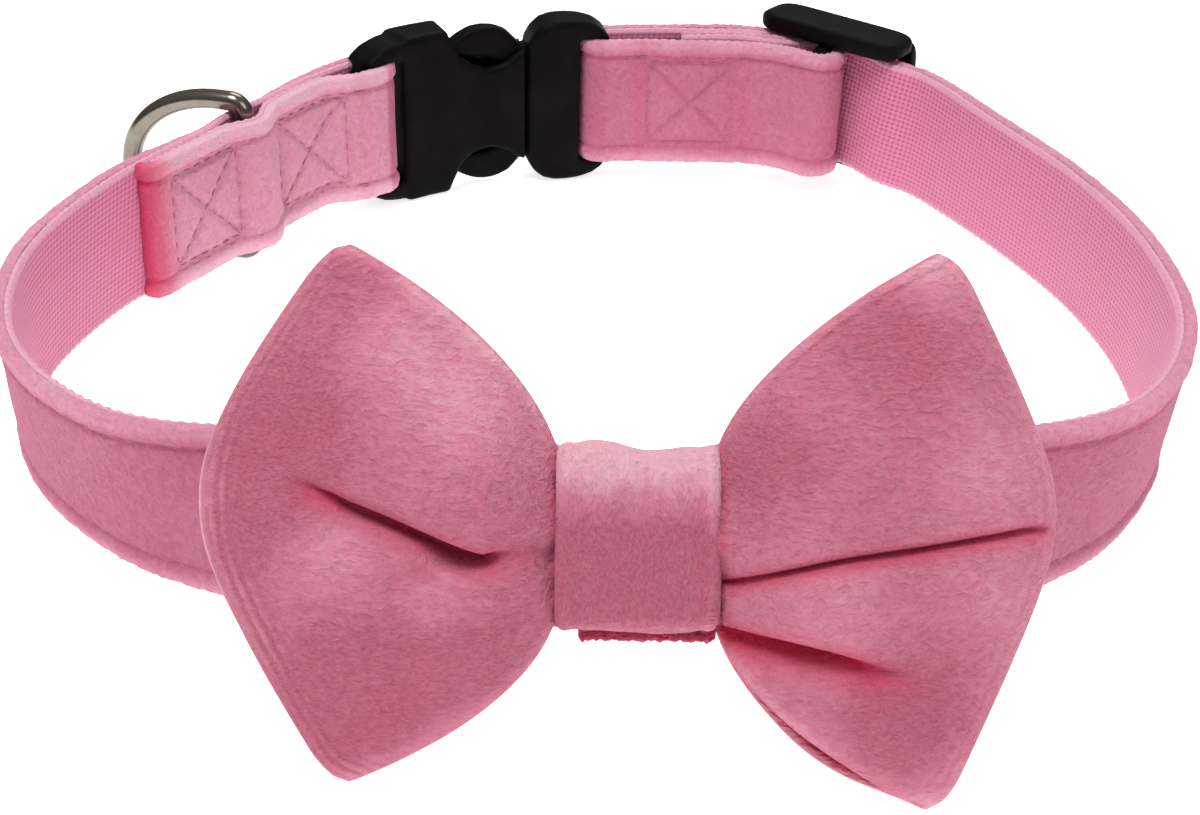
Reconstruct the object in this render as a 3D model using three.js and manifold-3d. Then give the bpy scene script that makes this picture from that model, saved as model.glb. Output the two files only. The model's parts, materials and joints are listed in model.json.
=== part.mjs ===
// Pet bow tie collar: a strap with buckle, slider and D-ring, standing on its edge, with a bow at the front.
// Millimetres, +Z up, front towards -Y. The table is the plane z = 0.
import * as THREE from "three";
import { mergeVertices } from "three/addons/utils/BufferGeometryUtils.js";
import Module from "manifold-3d";

const wasm = await Module();
wasm.setup();

// Clearances
const layerGap = 0.3;
const socketGap = 0.3;
const barGap = 0.45;
const loopGap = 0.6;
const edgeGap = 0.4;

// Strap: one strip of webbing with velvet sewn on its outer side
const strapWidth = 25;
const girth = 545;
const webbingThickness = 1.4;
const velvetThickness = 1.5;
const velvetMargin = 0.7;
const flapLength = 59;
const returnLength = 33;
const boxToBarBlend = 9;

// Planform of the strap's outer layer, anticlockwise from the front middle.
// Columns: x, y, lean of the top edge towards the inside in degrees, share of the front's rise
const planform = [
  [5, -58, 40, 1],
  [33, -55.4, 35, 0.75],
  [55, -49, 9, 0.2],
  [74, -37.5, -5, 0],
  [86, -17, -4, 0],
  [88.7, 8, 0, 0],
  [84.5, 33.5, 3, 0],
  [74, 60, 4, 0],
  [61.5, 83.5, 0, 0],
  [42, 101, 0, 0],
  [16, 102.6, 0, 0],
  [-9, 99.2, 0, 0],
  [-33, 91.6, 0, 0],
  [-52, 74.5, 0, 0],
  [-67, 50.5, 0, 0],
  [-81, 27, 3, 0],
  [-87.5, 1, 2, 0],
  [-81.5, -24.5, -5, 0],
  [-65, -43, -5, 0],
  [-45, -51, 9, 0.2],
  [-23, -55.4, 35, 0.75],
];

// Places along the strap, as the distance from the front middle over the girth
const buckleShare = 0.5475;
const sliderShare = 0.411;
const ringShare = 0.656;

// Buckle
const buckleLength = 55;
const buckleMargin = 4.5;
const housingThickness = 8.4;
const baseThickness = 7.6;
const barWidth = 3.4;
const barBevel = 0.95;
const femaleBarExtra = 4.5;
const slotWidth = 4.1;
const mouthAt = -8.8;
const housingWall = 2;
const mouthGap = 0.5;
const edgeBevel = 0.7;

// Shoulders of the buckle's halves, from the mouth to the strap's end.
// Columns: share of the half's length, drop below the buckle's full half height
const femaleShoulder = [
  [0, 0.6], [0.3, 0.8], [0.52, 1.5], [0.7, 2.8], [0.84, 4.8], [0.94, 7.4], [1, 10.5],
];
const maleShoulder = [
  [0, 4.6], [0.07, 2.4], [0.17, 0.8], [0.3, 0.1], [0.45, 0], [0.62, 0.4], [0.76, 1.2], [0.87, 2.6],
  [0.95, 4.8], [1, 8.5],
];
const buttonDrop = 3.2;

// Slider
const sliderLength = 32;
const sliderBar = 3.4;
const railWidth = 3.6;
const railDepth = 2.6;
const plateHeight = 4.1;
const railDip = 1.2;
const barRise = 0.8;

// D-ring
const ringWire = 3.6;
const ringDepth = 23;
const ringArm = 5;
const ringCorner = 2.4;
const ringTurn = 15;
const ringRise = 1;

// Bow
const bowLean = 37;
const bowLift = -1;
const bowUpper = { left: 36, right: 36 };
const bowLower = { left: 30.6, right: 33.4 };
const bowTip = { left: 36.8, right: 37.8 };
const bowMiddle = { left: 53.6, right: 52.2 };
const bowWidest = { left: 0.14, right: 0.1 };
const bowBlunt = { left: 0.6, right: 0.25 };
const bowSheet = 2.4;
const bowPuff = 7.4;
const waistHeight = 8;
const waistPuff = 2.8;
const pleatDepth = 0.6;
const valleyDepth = 3.2;

// Knot and holding loop
const knotWidth = 20;
const knotHeight = 23.8;
const knotDepth = 16.4;
const knotSheet = 2.6;
const loopWidth = 16;
const loopSheet = 1.2;

// Derived sizes
const buckleHeight = strapWidth + 2 * buckleMargin;
const midHeight = buckleHeight / 2;
const strapLean = (planform[0][2] * Math.PI) / 180;
const lean = (bowLean * Math.PI) / 180;
const turnRadius = barWidth / 2 + barGap + webbingThickness;
const velvetFace = layerGap + velvetThickness;
const doubled = 2 * webbingThickness + layerGap;
const returnDrop = webbingThickness + layerGap + velvetFace;
const sliderTurn = sliderBar / 2 + barGap + webbingThickness;
const loopHeight = strapWidth + 2 * loopGap + 2 * loopSheet;
const loopFront = velvetFace + loopGap + loopSheet;
const loopBack = webbingThickness + loopGap + loopSheet;
const bowOut = knotDepth / 2 + 2.5 * layerGap + loopFront;

const clamp01 = (t) => Math.min(Math.max(t, 0), 1);
const ease = (t) => clamp01(t) ** 2 * (3 - 2 * clamp01(t));
const bump = (x, half) => (Math.abs(x) < half ? Math.cos((Math.PI * x) / (2 * half)) ** 2 : 0);
const power = (x, e) => Math.sign(x) * Math.abs(x) ** e;

// Closed mesh from points and triangles, turned so that its faces look outwards
function solid(points, triangles) {
  const volume = triangles.reduce((sum, [a, b, c]) => {
    return sum + points[a].dot(points[b].clone().cross(points[c]));
  }, 0);
  const order = volume < 0 ? triangles.map(([a, b, c]) => [a, c, b]) : triangles;
  const geometry = new THREE.BufferGeometry();
  geometry.setAttribute("position", new THREE.Float32BufferAttribute(points.flatMap((p) => p.toArray()), 3));
  geometry.setIndex(order.flat());
  geometry.computeVertexNormals();
  return geometry;
}

// Sections of equal point count joined in a row, with flat ends or closed into a ring
function loft(sections, ring) {
  const n = sections[0].length;
  const rows = sections.length;
  const triangles = [];
  for (let i = 0; i < (ring ? rows : rows - 1); i++) {
    for (let j = 0; j < n; j++) {
      const [a, b] = [i * n + j, i * n + ((j + 1) % n)];
      const [c, d] = [((i + 1) % rows) * n + j, ((i + 1) % rows) * n + ((j + 1) % n)];
      triangles.push(...(j < n / 2 ? [[a, b, d], [a, d, c]] : [[a, b, c], [b, d, c]]));
    }
  }
  if (!ring) {
    for (let j = 1; j < n - 1; j++) {
      triangles.push([0, j + 1, j]);
      const last = (rows - 1) * n;
      triangles.push([last, last + j, last + j + 1]);
    }
  }
  return solid(sections.flat(), triangles);
}

// Closed band of cloth: surface(i, j) of the middle of the cloth, round in i and across in j
function clothBand(around, across, surface, thickness) {
  const at = (i, j) => surface((i + around) % around, j);
  const sections = [];
  for (let i = 0; i < around; i++) {
    const front = [];
    const back = [];
    for (let j = 0; j <= across; j++) {
      const along = at(i + 1, j).sub(at(i - 1, j));
      const cross = at(i, Math.min(j + 1, across)).sub(at(i, Math.max(j - 1, 0)));
      const normal = along.cross(cross).normalize().multiplyScalar(thickness(i, j) / 2);
      front.push(at(i, j).add(normal));
      back.unshift(at(i, j).sub(normal));
    }
    sections.push([...front, ...back]);
  }
  return loft(sections, true);
}

// Bow, seen from the front: x to the right, z up, -y to the front, origin behind the middle of the knot.
// Stations from a wing's outer fold to the middle, where 0.2 is the knot's edge
const stations = [1, 0.992, 0.965, 0.92, 0.86, 0.78, 0.69, 0.59, 0.49, 0.39, 0.31, 0.25, 0.2, 0.1, 0];
const knotStation = 0.2;
const quarter = stations.length - 1;
const bowRound = 4 * quarter;
const bowAcross = 14;

function bowHeight(x, reach, tip, v) {
  const t = clamp01((x - knotWidth / 2) / (reach - knotWidth / 2));
  const spread = (Math.sqrt(t + 0.012) - Math.sqrt(0.012)) / (Math.sqrt(1.012) - Math.sqrt(0.012));
  return v * (waistHeight + (tip - waistHeight) * spread);
}

function bowStation(i) {
  const k = i % quarter;
  const part = Math.floor(i / quarter);
  return { u: stations[part % 2 ? quarter - k : k], side: part % 3 ? "left" : "right", front: part < 2 ? 1 : -1 };
}

function bowPoint(i, j) {
  const v = (2 * j) / bowAcross - 1;
  const { u, side, front } = bowStation(i);
  const flat = bowBlunt[side];
  const away = (v - bowWidest[side]) / (1 - Math.sign(v - bowWidest[side]) * bowWidest[side]);
  const slant = (Math.sqrt(away * away + flat * flat) - flat) / (Math.sqrt(1 + flat * flat) - flat);
  const corner = 1.6 * clamp01((Math.abs(v) - 0.8) / 0.2) ** 3;
  const reach = bowMiddle[side] - (bowMiddle[side] - bowTip[side]) * slant - corner;
  const wing = Math.max(u - knotStation, 0) / (1 - knotStation);
  const x = (knotWidth / 2) * Math.min(u / knotStation, 1) + wing * (reach - knotWidth / 2);
  const open = ease((x - 0.4 * knotWidth) / (0.5 * bowTip[side]));
  const puff = (waistPuff + (bowPuff - waistPuff) * open) * (1 - 0.33 * v * v) * (1 - u * u) ** 0.36;
  const pleat = pleatDepth * Math.cos(2.5 * Math.PI * v) * (1 - ease((x - 6) / 18));
  const sign = side === "left" ? -1 : 1;
  const valley = valleyDepth * bump(v + 0.06 * sign, 0.34) * bump(x - 26, 18);
  const depth = front * puff + (front > 0 ? pleat - valley : -0.5 * pleat);
  const tip = v > 0 ? bowUpper[side] : bowLower[side];
  return new THREE.Vector3(sign * x, -depth, bowHeight(x, bowTip[side], tip, v));
}

const bowThickness = (i) => bowSheet * (0.72 + 0.28 * ease(3 * bowStation(i).u));
const bow = clothBand(bowRound, bowAcross, bowPoint, bowThickness);

// Band round the x axis with a rounded oblong section between two half sizes
function band(width, halfDepth, halfHeight, sheet, across, middleY, roundness) {
  const around = 32;
  const surface = (i, j) => {
    const angle = (2 * Math.PI * i) / around;
    const y = middleY + halfDepth * power(Math.cos(angle), roundness);
    return new THREE.Vector3(width * (j / across - 0.5), y, halfHeight * power(Math.sin(angle), roundness));
  };
  return clothBand(around, across, surface, (i, j) => sheet * (j === 0 || j === across ? 0.6 : 1));
}

const knotMiddle = { depth: (knotDepth - knotSheet) / 2, height: (knotHeight - knotSheet) / 2 };
const knot = band(knotWidth, knotMiddle.depth, knotMiddle.height, knotSheet, 4, 0, 0.5);
const loopHalf = { depth: (loopFront + loopBack - loopSheet) / 2, height: (loopHeight - loopSheet) / 2 };
const loop = band(loopWidth, loopHalf.depth, loopHalf.height, loopSheet, 2, (loopBack - loopFront) / 2, 0.2);

// The bow's lower tips stand on the table, which sets the strap's height at the front
const bowPositions = bow.attributes.position;
let bowLowest = 0;
for (let i = 0; i < bowPositions.count; i++) {
  const low = bowPositions.getZ(i) * Math.cos(lean) - bowPositions.getY(i) * Math.sin(lean);
  bowLowest = Math.min(bowLowest, low);
}
const frontHeight = -bowLowest - bowOut * Math.sin(lean) - bowLift * Math.cos(lean);

// Smooth closed curve through the planform's rows, and its length
function curve(column, t) {
  const n = planform.length;
  const i = Math.floor(t);
  const f = t - i;
  const [a, b, c, d] = [-1, 0, 1, 2].map((k) => planform[(i + k + n) % n][column]);
  return b + 0.5 * f * (c - a + f * (2 * a - 5 * b + 4 * c - d + f * (3 * (b - c) + d - a)));
}

const steps = planform.length * 40;
const lengths = [0];
for (let k = 1; k <= steps; k++) {
  const [t, s] = [(k - 1) / 40, (k / 40) % planform.length];
  lengths.push(lengths[k - 1] + Math.hypot(curve(0, s) - curve(0, t), curve(1, s) - curve(1, t)));
}
const ringScale = girth / lengths[steps];

// Point of the strap: distance along it, distance outwards from the joint of webbing and velvet, height on it
function place(along, out, up) {
  const wanted = ((((along / girth) % 1) + 1) % 1) * lengths[steps];
  let k = 1;
  while (k < steps && lengths[k] < wanted) {
    k += 1;
  }
  const t = (k - 1 + (wanted - lengths[k - 1]) / (lengths[k] - lengths[k - 1])) / 40;
  const [s, e] = [t % planform.length, (t + 0.01) % planform.length];
  const direction = new THREE.Vector2(curve(0, e) - curve(0, s), curve(1, e) - curve(1, s)).normalize();
  const tilt = (curve(2, s) * Math.PI) / 180;
  const away = out * Math.cos(tilt) - up * Math.sin(tilt);
  const middle = midHeight + curve(3, s) * (frontHeight - midHeight);
  return new THREE.Vector3(
    curve(0, s) * ringScale + direction.y * away,
    curve(1, s) * ringScale - direction.x * away,
    middle + out * Math.sin(tilt) + up * Math.cos(tilt),
  );
}

// Places of the bars that the strip turns round
const buckleAt = buckleShare * girth;
const sliderAt = sliderShare * girth;
const ringAt = ringShare * girth;
const barInset = buckleLength / 2 - barWidth / 2;
const femaleBar = buckleAt + barInset;
const maleBar = buckleAt - barInset;
const buckleOut = -turnRadius;
const sliderOut = barRise - returnDrop - sliderTurn;
const ringOut = ringRise - ringWire / 2 - layerGap - webbingThickness;
const railAt = (sliderLength - railWidth) / 2;

// How far out each layer of the strip runs
function outerLayer(along) {
  const s = along - sliderAt;
  const dips = railDip * (bump(s - railAt, 9) + bump(s + railAt, 9));
  return barRise * bump(s, 9) - dips + ringRise * bump(along - ringAt, 9);
}

function flapLayer(along) {
  const ring = 2 * (ringWire / 2 + layerGap + webbingThickness) - doubled;
  const nearBar = (2 * turnRadius - doubled) * (1 - ease((along - femaleBar - femaleBarExtra) / boxToBarBlend));
  return outerLayer(along) - doubled - nearBar - ring * bump(along - ringAt, 8);
}

function returnLayer(along) {
  return outerLayer(along) - returnDrop;
}

function innerLayer(along) {
  const share = (along - sliderAt) / (maleBar - sliderAt);
  return (returnLayer(sliderAt) - 2 * sliderTurn) * (1 - share) - 2 * turnRadius * share;
}

// Path of the strip, from the flap's end to the returned end
function walk(from, to, layer) {
  const points = [];
  const sign = Math.sign(to - from);
  const busy = (x) => {
    const a = ((x % girth) + girth) % girth;
    return (a > sliderAt - 0.8 * sliderLength && a < maleBar) || (a > femaleBar && a < femaleBar + flapLength);
  };
  let x = from;
  while (sign * (to - x) > 1) {
    points.push([x, layer(x)]);
    x += sign * (busy(x) ? 2.6 : 5.4);
  }
  points.push([to, layer(to)]);
  return points;
}

function turn(along, out, radius, side, up) {
  return [-72, -48, -24, 0, 24, 48, 72].map((degrees) => {
    const a = (degrees * Math.PI) / 180;
    return [along + side * radius * Math.cos(a), out + up * radius * Math.sin(a)];
  });
}

const path = [
  ...walk(femaleBar + flapLength, femaleBar, flapLayer),
  ...turn(femaleBar, buckleOut, turnRadius, -1, 1),
  ...walk(femaleBar, girth + maleBar, (x) => outerLayer(x > girth ? x - girth : x)),
  ...turn(girth + maleBar, buckleOut, turnRadius, 1, -1),
  ...walk(girth + maleBar, girth + sliderAt, (x) => innerLayer(x - girth)),
  ...turn(girth + sliderAt, sliderOut, sliderTurn, -1, 1),
  ...walk(girth + sliderAt, girth + sliderAt + returnLength, (x) => returnLayer(x - girth)),
];

// Strip of cloth on the path between two distances from it, velvet side positive
function strip(inner, outer, halfWidth) {
  const edge = 0.45;
  const middle = (inner + outer) / 2;
  const profile = [
    [inner, -halfWidth + edge], [middle, -halfWidth], [outer, -halfWidth + edge],
    [outer, halfWidth - edge], [middle, halfWidth], [inner, halfWidth - edge],
  ];
  const sections = path.map(([along, out], i) => {
    const before = path[Math.max(i - 1, 0)];
    const after = path[Math.min(i + 1, path.length - 1)];
    const toward = new THREE.Vector2(after[0] - before[0], after[1] - before[1]).normalize();
    return profile.map(([q, w]) => place(along - q * toward.y, out + q * toward.x, w));
  });
  return loft(sections, false);
}

const webbing = strip(-webbingThickness, 0, strapWidth / 2);
const velvet = strip(layerGap, velvetFace, strapWidth / 2 - velvetMargin);

// Hard pieces are drawn flat, x along the strap, y up, z outwards, and then bent with the strap
function toManifold(geometry) {
  const bare = new THREE.BufferGeometry();
  bare.setAttribute("position", geometry.attributes.position);
  bare.setIndex(geometry.index);
  const merged = mergeVertices(bare, 1e-4);
  return new wasm.Manifold(new wasm.Mesh({
    numProp: 3,
    vertProperties: new Float32Array(merged.attributes.position.array),
    triVerts: new Uint32Array(merged.index.array),
  }));
}

function extruded(outline, holes, back, front, bevel) {
  const shape = new THREE.Shape(outline.map(([x, y]) => new THREE.Vector2(x, y)));
  shape.holes = holes.map((hole) => new THREE.Path(hole.map(([x, y]) => new THREE.Vector2(x, y))));
  const geometry = new THREE.ExtrudeGeometry(shape, {
    depth: front - back - 2 * bevel,
    bevelEnabled: bevel > 0,
    bevelThickness: bevel,
    bevelSize: bevel,
    bevelOffset: -bevel,
    bevelSegments: 1,
    curveSegments: 1,
  });
  geometry.translate(0, 0, back + bevel);
  return toManifold(geometry);
}

// Oblong outline with rounded corners, anticlockwise from the lower right
function oblong(left, right, bottom, top, radii) {
  const corners = [
    [right, bottom, -1, 1, radii[0], -90], [right, top, -1, -1, radii[1], 0],
    [left, top, 1, -1, radii[2], 90], [left, bottom, 1, 1, radii[3], 180],
  ];
  return corners.flatMap(([x, y, dx, dy, radius, start]) => {
    const parts = radius > 3 ? 4 : 1;
    return Array.from({ length: parts + 1 }, (_, k) => {
      const a = ((start + (90 * k) / parts) * Math.PI) / 180;
      return [x + dx * radius + radius * Math.cos(a), y + dy * radius + radius * Math.sin(a)];
    });
  });
}

function box(x0, x1, y0, y1, z0, z1) {
  const geometry = new THREE.BoxGeometry(x1 - x0, y1 - y0, z1 - z0);
  geometry.translate((x0 + x1) / 2, (y0 + y1) / 2, (z0 + z1) / 2);
  return toManifold(geometry);
}

// Edges that are long along the strap are halved until the piece can follow its curve
function bent(manifold, alongAt, outAt) {
  const mesh = manifold.getMesh();
  const points = [];
  for (let i = 0; i < mesh.vertProperties.length; i += mesh.numProp) {
    points.push(new THREE.Vector3(...mesh.vertProperties.slice(i, i + 3)));
  }
  let triangles = [];
  for (let i = 0; i < mesh.triVerts.length; i += 3) {
    triangles.push([...mesh.triVerts.slice(i, i + 3)]);
  }
  for (let round = 0; round < 3; round++) {
    const halves = new Map();
    const half = (a, b) => {
      if (Math.abs(points[a].x - points[b].x) < 9) {
        return -1;
      }
      const key = a < b ? `${a} ${b}` : `${b} ${a}`;
      if (!halves.has(key)) {
        halves.set(key, points.length);
        points.push(points[a].clone().add(points[b]).multiplyScalar(0.5));
      }
      return halves.get(key);
    };
    triangles = triangles.flatMap(([a, b, c]) => {
      const middles = [half(a, b), half(b, c), half(c, a)];
      const ring = [a, middles[0], b, middles[1], c, middles[2]].filter((k) => k >= 0);
      if (ring.length === 3) {
        return [[a, b, c]];
      }
      if (ring.length === 6) {
        return [[a, middles[0], middles[2]], [middles[0], b, middles[1]], [middles[2], middles[1], c], middles];
      }
      while (!middles.includes(ring[0]) || (ring.length === 5 && middles.includes(ring[ring.length - 2]))) {
        ring.push(ring.shift());
      }
      return ring.slice(1, -1).map((k, i) => [ring[0], k, ring[i + 2]]);
    });
  }
  return solid(points.map((p) => place(alongAt + p.x, outAt + p.z, p.y)), triangles);
}

// Buckle, socket half: end frame with bar, housing with a socket and a window at each edge for the release arms
const half = buckleHeight / 2;
const socketEnd = 13;
const housingFrom = barInset - barWidth / 2 - slotWidth;
const slotHalf = strapWidth / 2 + edgeGap;
const halfBar = barWidth / 2;

function windowArc(sign) {
  const [reachX, reachY, centre] = [9, 10, half + 1.5];
  const count = 8;
  return Array.from({ length: count + 1 }, (_, k) => {
    const x = mouthAt + ((7.4 - mouthAt) * k) / count;
    const across = Math.max(x, mouthAt + 1.2) + 0.9;
    const y = centre - reachY * Math.sqrt(Math.max(1 - (across / reachX) ** 2, 0.02));
    return [x, sign * Math.min(y, half - 0.6)];
  });
}

const housingOutline = [
  ...windowArc(-1),
  [8.6, -half],
  ...oblong(0, housingFrom, -half, half, [0.8, 0.8, 0, 0]).slice(0, 4),
  [8.6, half],
  ...windowArc(1).reverse(),
];
const femaleEnd = buckleLength / 2 + femaleBarExtra;

// Outline with the same shoulder on both edges, between two places along the strap
function shouldered(from, to, shoulder) {
  const edge = shoulder.map(([share, drop]) => [from + (to - from) * share, half - drop]);
  const lower = edge.map(([x, y]) => [x, -y]);
  return to > from ? [...lower, ...edge.reverse()] : [...edge, ...lower.reverse()];
}

// Cheeks beside the strap with a bar between them, from an outline whose slot side is given
function endFrame(outline, slotSide, barFrom, barTo) {
  const strapRoom = [Math.min(slotSide, barFrom - 20), Math.max(slotSide, barTo + 20)];
  const [from, to] = slotSide > 0 ? [slotSide, strapRoom[1]] : [strapRoom[0], slotSide];
  const bar = oblong(barFrom, barTo, -half, half, [1.2, 1.2, 1.2, 1.2]);
  return extruded(outline, [], -baseThickness / 2, baseThickness / 2, edgeBevel)
    .subtract(box(from, to, -slotHalf, slotHalf, -half, half))
    .add(extruded(outline, [], -halfBar, halfBar, barBevel)
      .intersect(extruded(bar, [], -halfBar, halfBar, barBevel)));
}

const female = extruded(housingOutline, [], -housingThickness / 2, housingThickness / 2, edgeBevel)
  .add(endFrame(
    shouldered(housingFrom - 2, femaleEnd, femaleShoulder), housingFrom, barInset - halfBar, femaleEnd + 2,
  ))
  .subtract(box(
    mouthAt - 1, socketEnd, -half + 3, half - 3,
    -housingThickness / 2 + housingWall, housingThickness / 2 - housingWall,
  ));

// Buckle, prong half: end frame with bar, base, guide and two release arms
const baseAt = mouthAt - mouthGap;
const baseFrom = -barInset + barWidth / 2 + slotWidth;
const prong = housingThickness / 2 - housingWall - socketGap;
const button = [7.2, 5, 2.4, -0.4, -3, -5.4].map((x) => [x, half - 0.9 - buttonDrop * ((x + 0.4) / 7.6) ** 2]);
const arm = [
  [baseAt - 1, half - 12], [-6, half - 9.6], [-1, half - 7.2], [5, half - 6.6], [11, half - 6.8],
  [11.6, half - 4.8], ...button, [-8, half - 5], [baseAt - 1, half - 6.4],
];
const male = endFrame(
  shouldered(baseAt, -buckleLength / 2, maleShoulder), baseFrom, -buckleLength / 2 - 2, -barInset + halfBar,
)
  .add(box(baseAt - 1, 9, -5, 5, -prong, prong))
  .add(extruded(arm, [], -prong, prong, 0.4))
  .add(extruded(arm.map(([x, y]) => [x, -y]).reverse(), [], -prong, prong, 0.4));

// Slider: two side plates joined by a centre bar and two rails further out
const railIn = -railDip + velvetFace + layerGap;
const plate = [
  [-sliderLength / 2, -1.2], [-7.5, -2.4], [-3.4, sliderOut - 2], [3.4, sliderOut - 2],
  [7.5, -2.4], [sliderLength / 2, -1.2], [sliderLength / 2, railIn + 1.4],
  [sliderLength / 2 - 1.4, railIn + railDepth], [railAt - 3, railIn + railDepth], [4, 0.9],
  [-4, 0.9], [-railAt + 3, railIn + railDepth], [-sliderLength / 2 + 1.4, railIn + railDepth],
  [-sliderLength / 2, railIn + 1.4],
];

function sidePlate(bottom, top) {
  return extruded(plate, [], -top, -bottom, 0.6).rotate([90, 0, 0]);
}

function sliderPost(x, width, back, front) {
  const outline = oblong(x - width / 2, x + width / 2, back, front, [barBevel, barBevel, barBevel, barBevel]);
  return extruded(outline, [], -half + 2, half - 2, 0).rotate([90, 0, 0]);
}

const slider = sidePlate(-half, -half + plateHeight)
  .add(sidePlate(half - plateHeight, half))
  .add(sliderPost(0, sliderBar, sliderOut - sliderBar / 2, sliderOut + sliderBar / 2))
  .add(sliderPost(-railAt, railWidth, railIn, railIn + railDepth))
  .add(sliderPost(railAt, railWidth, railIn, railIn + railDepth));

// D-ring: a bar between flap and outer layer, and a bow of the same wire round the strap's outside
function dRing() {
  const h = strapWidth / 2 + edgeGap + ringWire / 2;
  const centre = [];
  for (const [x, z, from] of [[ringCorner, -h + ringCorner, 180], [ringCorner, h - ringCorner, 90]]) {
    const arc = [0, 30, 60, 90].map((d) => ((from === 180 ? 270 - d : 180 - d) * Math.PI) / 180);
    centre.push(...arc.map((a) => [x + ringCorner * Math.cos(a), z + ringCorner * Math.sin(a)]));
  }
  for (let k = 0; k <= 16; k++) {
    const a = Math.PI / 2 - (Math.PI * k) / 16;
    centre.push([ringArm + (ringDepth - ringArm) * Math.cos(a), h * Math.sin(a)]);
  }
  const sections = centre.map(([x, z], i) => {
    const before = centre[(i + centre.length - 1) % centre.length];
    const after = centre[(i + 1) % centre.length];
    const toward = new THREE.Vector2(after[0] - before[0], after[1] - before[1]).normalize();
    return Array.from({ length: 10 }, (_, k) => {
      const a = (2 * Math.PI * k) / 10;
      const side = (ringWire / 2) * Math.cos(a);
      return new THREE.Vector3(x + side * toward.y, (ringWire / 2) * Math.sin(a), z - side * toward.x);
    });
  });
  return loft(sections, true);
}

// Materials
const finishes = {
  webbing: { color: 0xe8307f, roughness: 0.75, metalness: 0 },
  velvet: { color: 0xb82a52, roughness: 0.9, metalness: 0 },
  plastic: { color: 0x1b1b1d, roughness: 0.5, metalness: 0 },
  steel: { color: 0xc4c6c9, roughness: 0.22, metalness: 1 },
};

function piece(name, geometry, finish) {
  const mesh = new THREE.Mesh(geometry, new THREE.MeshStandardMaterial(finishes[finish]));
  mesh.name = name;
  return mesh;
}

// Assembly
const ring = piece("d_ring", dRing(), "steel");
ring.position.copy(place(ringAt, ringOut, 0));
const outwards = place(ringAt, 10, 0).sub(place(ringAt, 0, 0));
ring.rotation.z = Math.atan2(outwards.y, outwards.x) + (ringTurn * Math.PI) / 180;

const front = new THREE.Group();
front.name = "front";
front.position.copy(place(0, 0, 0));
front.rotation.x = -lean;
const tied = new THREE.Group();
tied.name = "tied_bow";
tied.position.set(0, -bowOut, bowLift);
tied.add(piece("bow", bow, "velvet"), piece("bow_knot", knot, "velvet"));
const holder = piece("bow_loop", loop, "velvet");
holder.rotation.x = lean - strapLean;
front.add(tied, holder);

const collar = new THREE.Group();
collar.name = "pet_bow_tie_collar";
collar.add(
  piece("collar_webbing", webbing, "webbing"),
  piece("velvet_cover", velvet, "velvet"),
  piece("buckle_female", bent(female, buckleAt, buckleOut), "plastic"),
  piece("buckle_male", bent(male, buckleAt, buckleOut), "plastic"),
  piece("slider", bent(slider, sliderAt, 0), "plastic"),
  ring,
  front,
);

// The origin is the middle of the footprint, on the table
const bounds = new THREE.Box3().setFromObject(collar, true);
const middle = bounds.getCenter(new THREE.Vector3());
collar.position.set(-middle.x, -middle.y, -bounds.min.z);

export default collar;
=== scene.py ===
"""Looks of the pet bow tie collar: webbing strap with velvet cover, buckle, slider, D-ring and velvet bow."""
import json
import math
import bmesh
import bpy
import numpy as np
from mathutils import Matrix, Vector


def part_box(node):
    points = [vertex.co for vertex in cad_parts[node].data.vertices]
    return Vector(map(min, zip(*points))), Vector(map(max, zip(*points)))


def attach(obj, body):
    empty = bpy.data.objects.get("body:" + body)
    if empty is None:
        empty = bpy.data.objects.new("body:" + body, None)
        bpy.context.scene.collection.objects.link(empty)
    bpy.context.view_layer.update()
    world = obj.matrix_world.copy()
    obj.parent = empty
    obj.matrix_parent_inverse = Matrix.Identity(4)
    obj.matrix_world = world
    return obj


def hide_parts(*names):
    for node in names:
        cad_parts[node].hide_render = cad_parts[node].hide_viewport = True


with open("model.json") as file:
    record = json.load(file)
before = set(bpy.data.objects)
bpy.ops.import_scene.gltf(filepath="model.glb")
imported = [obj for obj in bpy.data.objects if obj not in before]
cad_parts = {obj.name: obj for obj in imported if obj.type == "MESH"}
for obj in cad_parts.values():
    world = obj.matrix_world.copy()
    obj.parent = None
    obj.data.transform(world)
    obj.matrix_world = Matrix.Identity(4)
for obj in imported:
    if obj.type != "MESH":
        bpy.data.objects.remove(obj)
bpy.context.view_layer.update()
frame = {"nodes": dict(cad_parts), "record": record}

bl_info = {
    "name": "Pet bow tie collar",
    "version": (1, 0, 0),
    "blender": (4, 5, 0),
    "location": "3D View > Sidebar > Collar",
    "description": "Builds the visible pieces of a velvet bow tie collar around its packed frame",
    "category": "Add Mesh",
}

RECORD = frame["record"]
NODES = frame["nodes"]

# Sizes of the strap's own frame, in millimetres, as in the part's source
STRAP_WIDTH = 25.0
HALF_WIDTH = STRAP_WIDTH / 2
MIDDLE_HEIGHT = 17
GIRTH = 545.0
WEBBING = 1.4

# Lengths of the end turned in at the ring, and of the end returned past the slider
FLAP = 59.0
RETURNED = 33.0

# Closed line of the strap seen from above: x, y, tilt outwards in degrees, share of the front's rise
PLANFORM = np.array([
    [5, -58, 40, 1], [33, -55.4, 35, 0.75], [55, -49, 9, 0.2], [74, -37.5, -5, 0], [86, -17, -4, 0],
    [88.7, 8, 0, 0], [84.5, 33.5, 3, 0], [74, 60, 4, 0], [61.5, 83.5, 0, 0], [42, 101, 0, 0],
    [16, 102.6, 0, 0], [-9, 99.2, 0, 0], [-33, 91.6, 0, 0], [-52, 74.5, 0, 0], [-67, 50.5, 0, 0],
    [-81, 27, 3, 0], [-87.5, 1, 2, 0], [-81.5, -24.5, -5, 0], [-65, -43, -5, 0], [-45, -51, 9, 0.2],
    [-23, -55.4, 35, 0.75],
], dtype=float)

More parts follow.
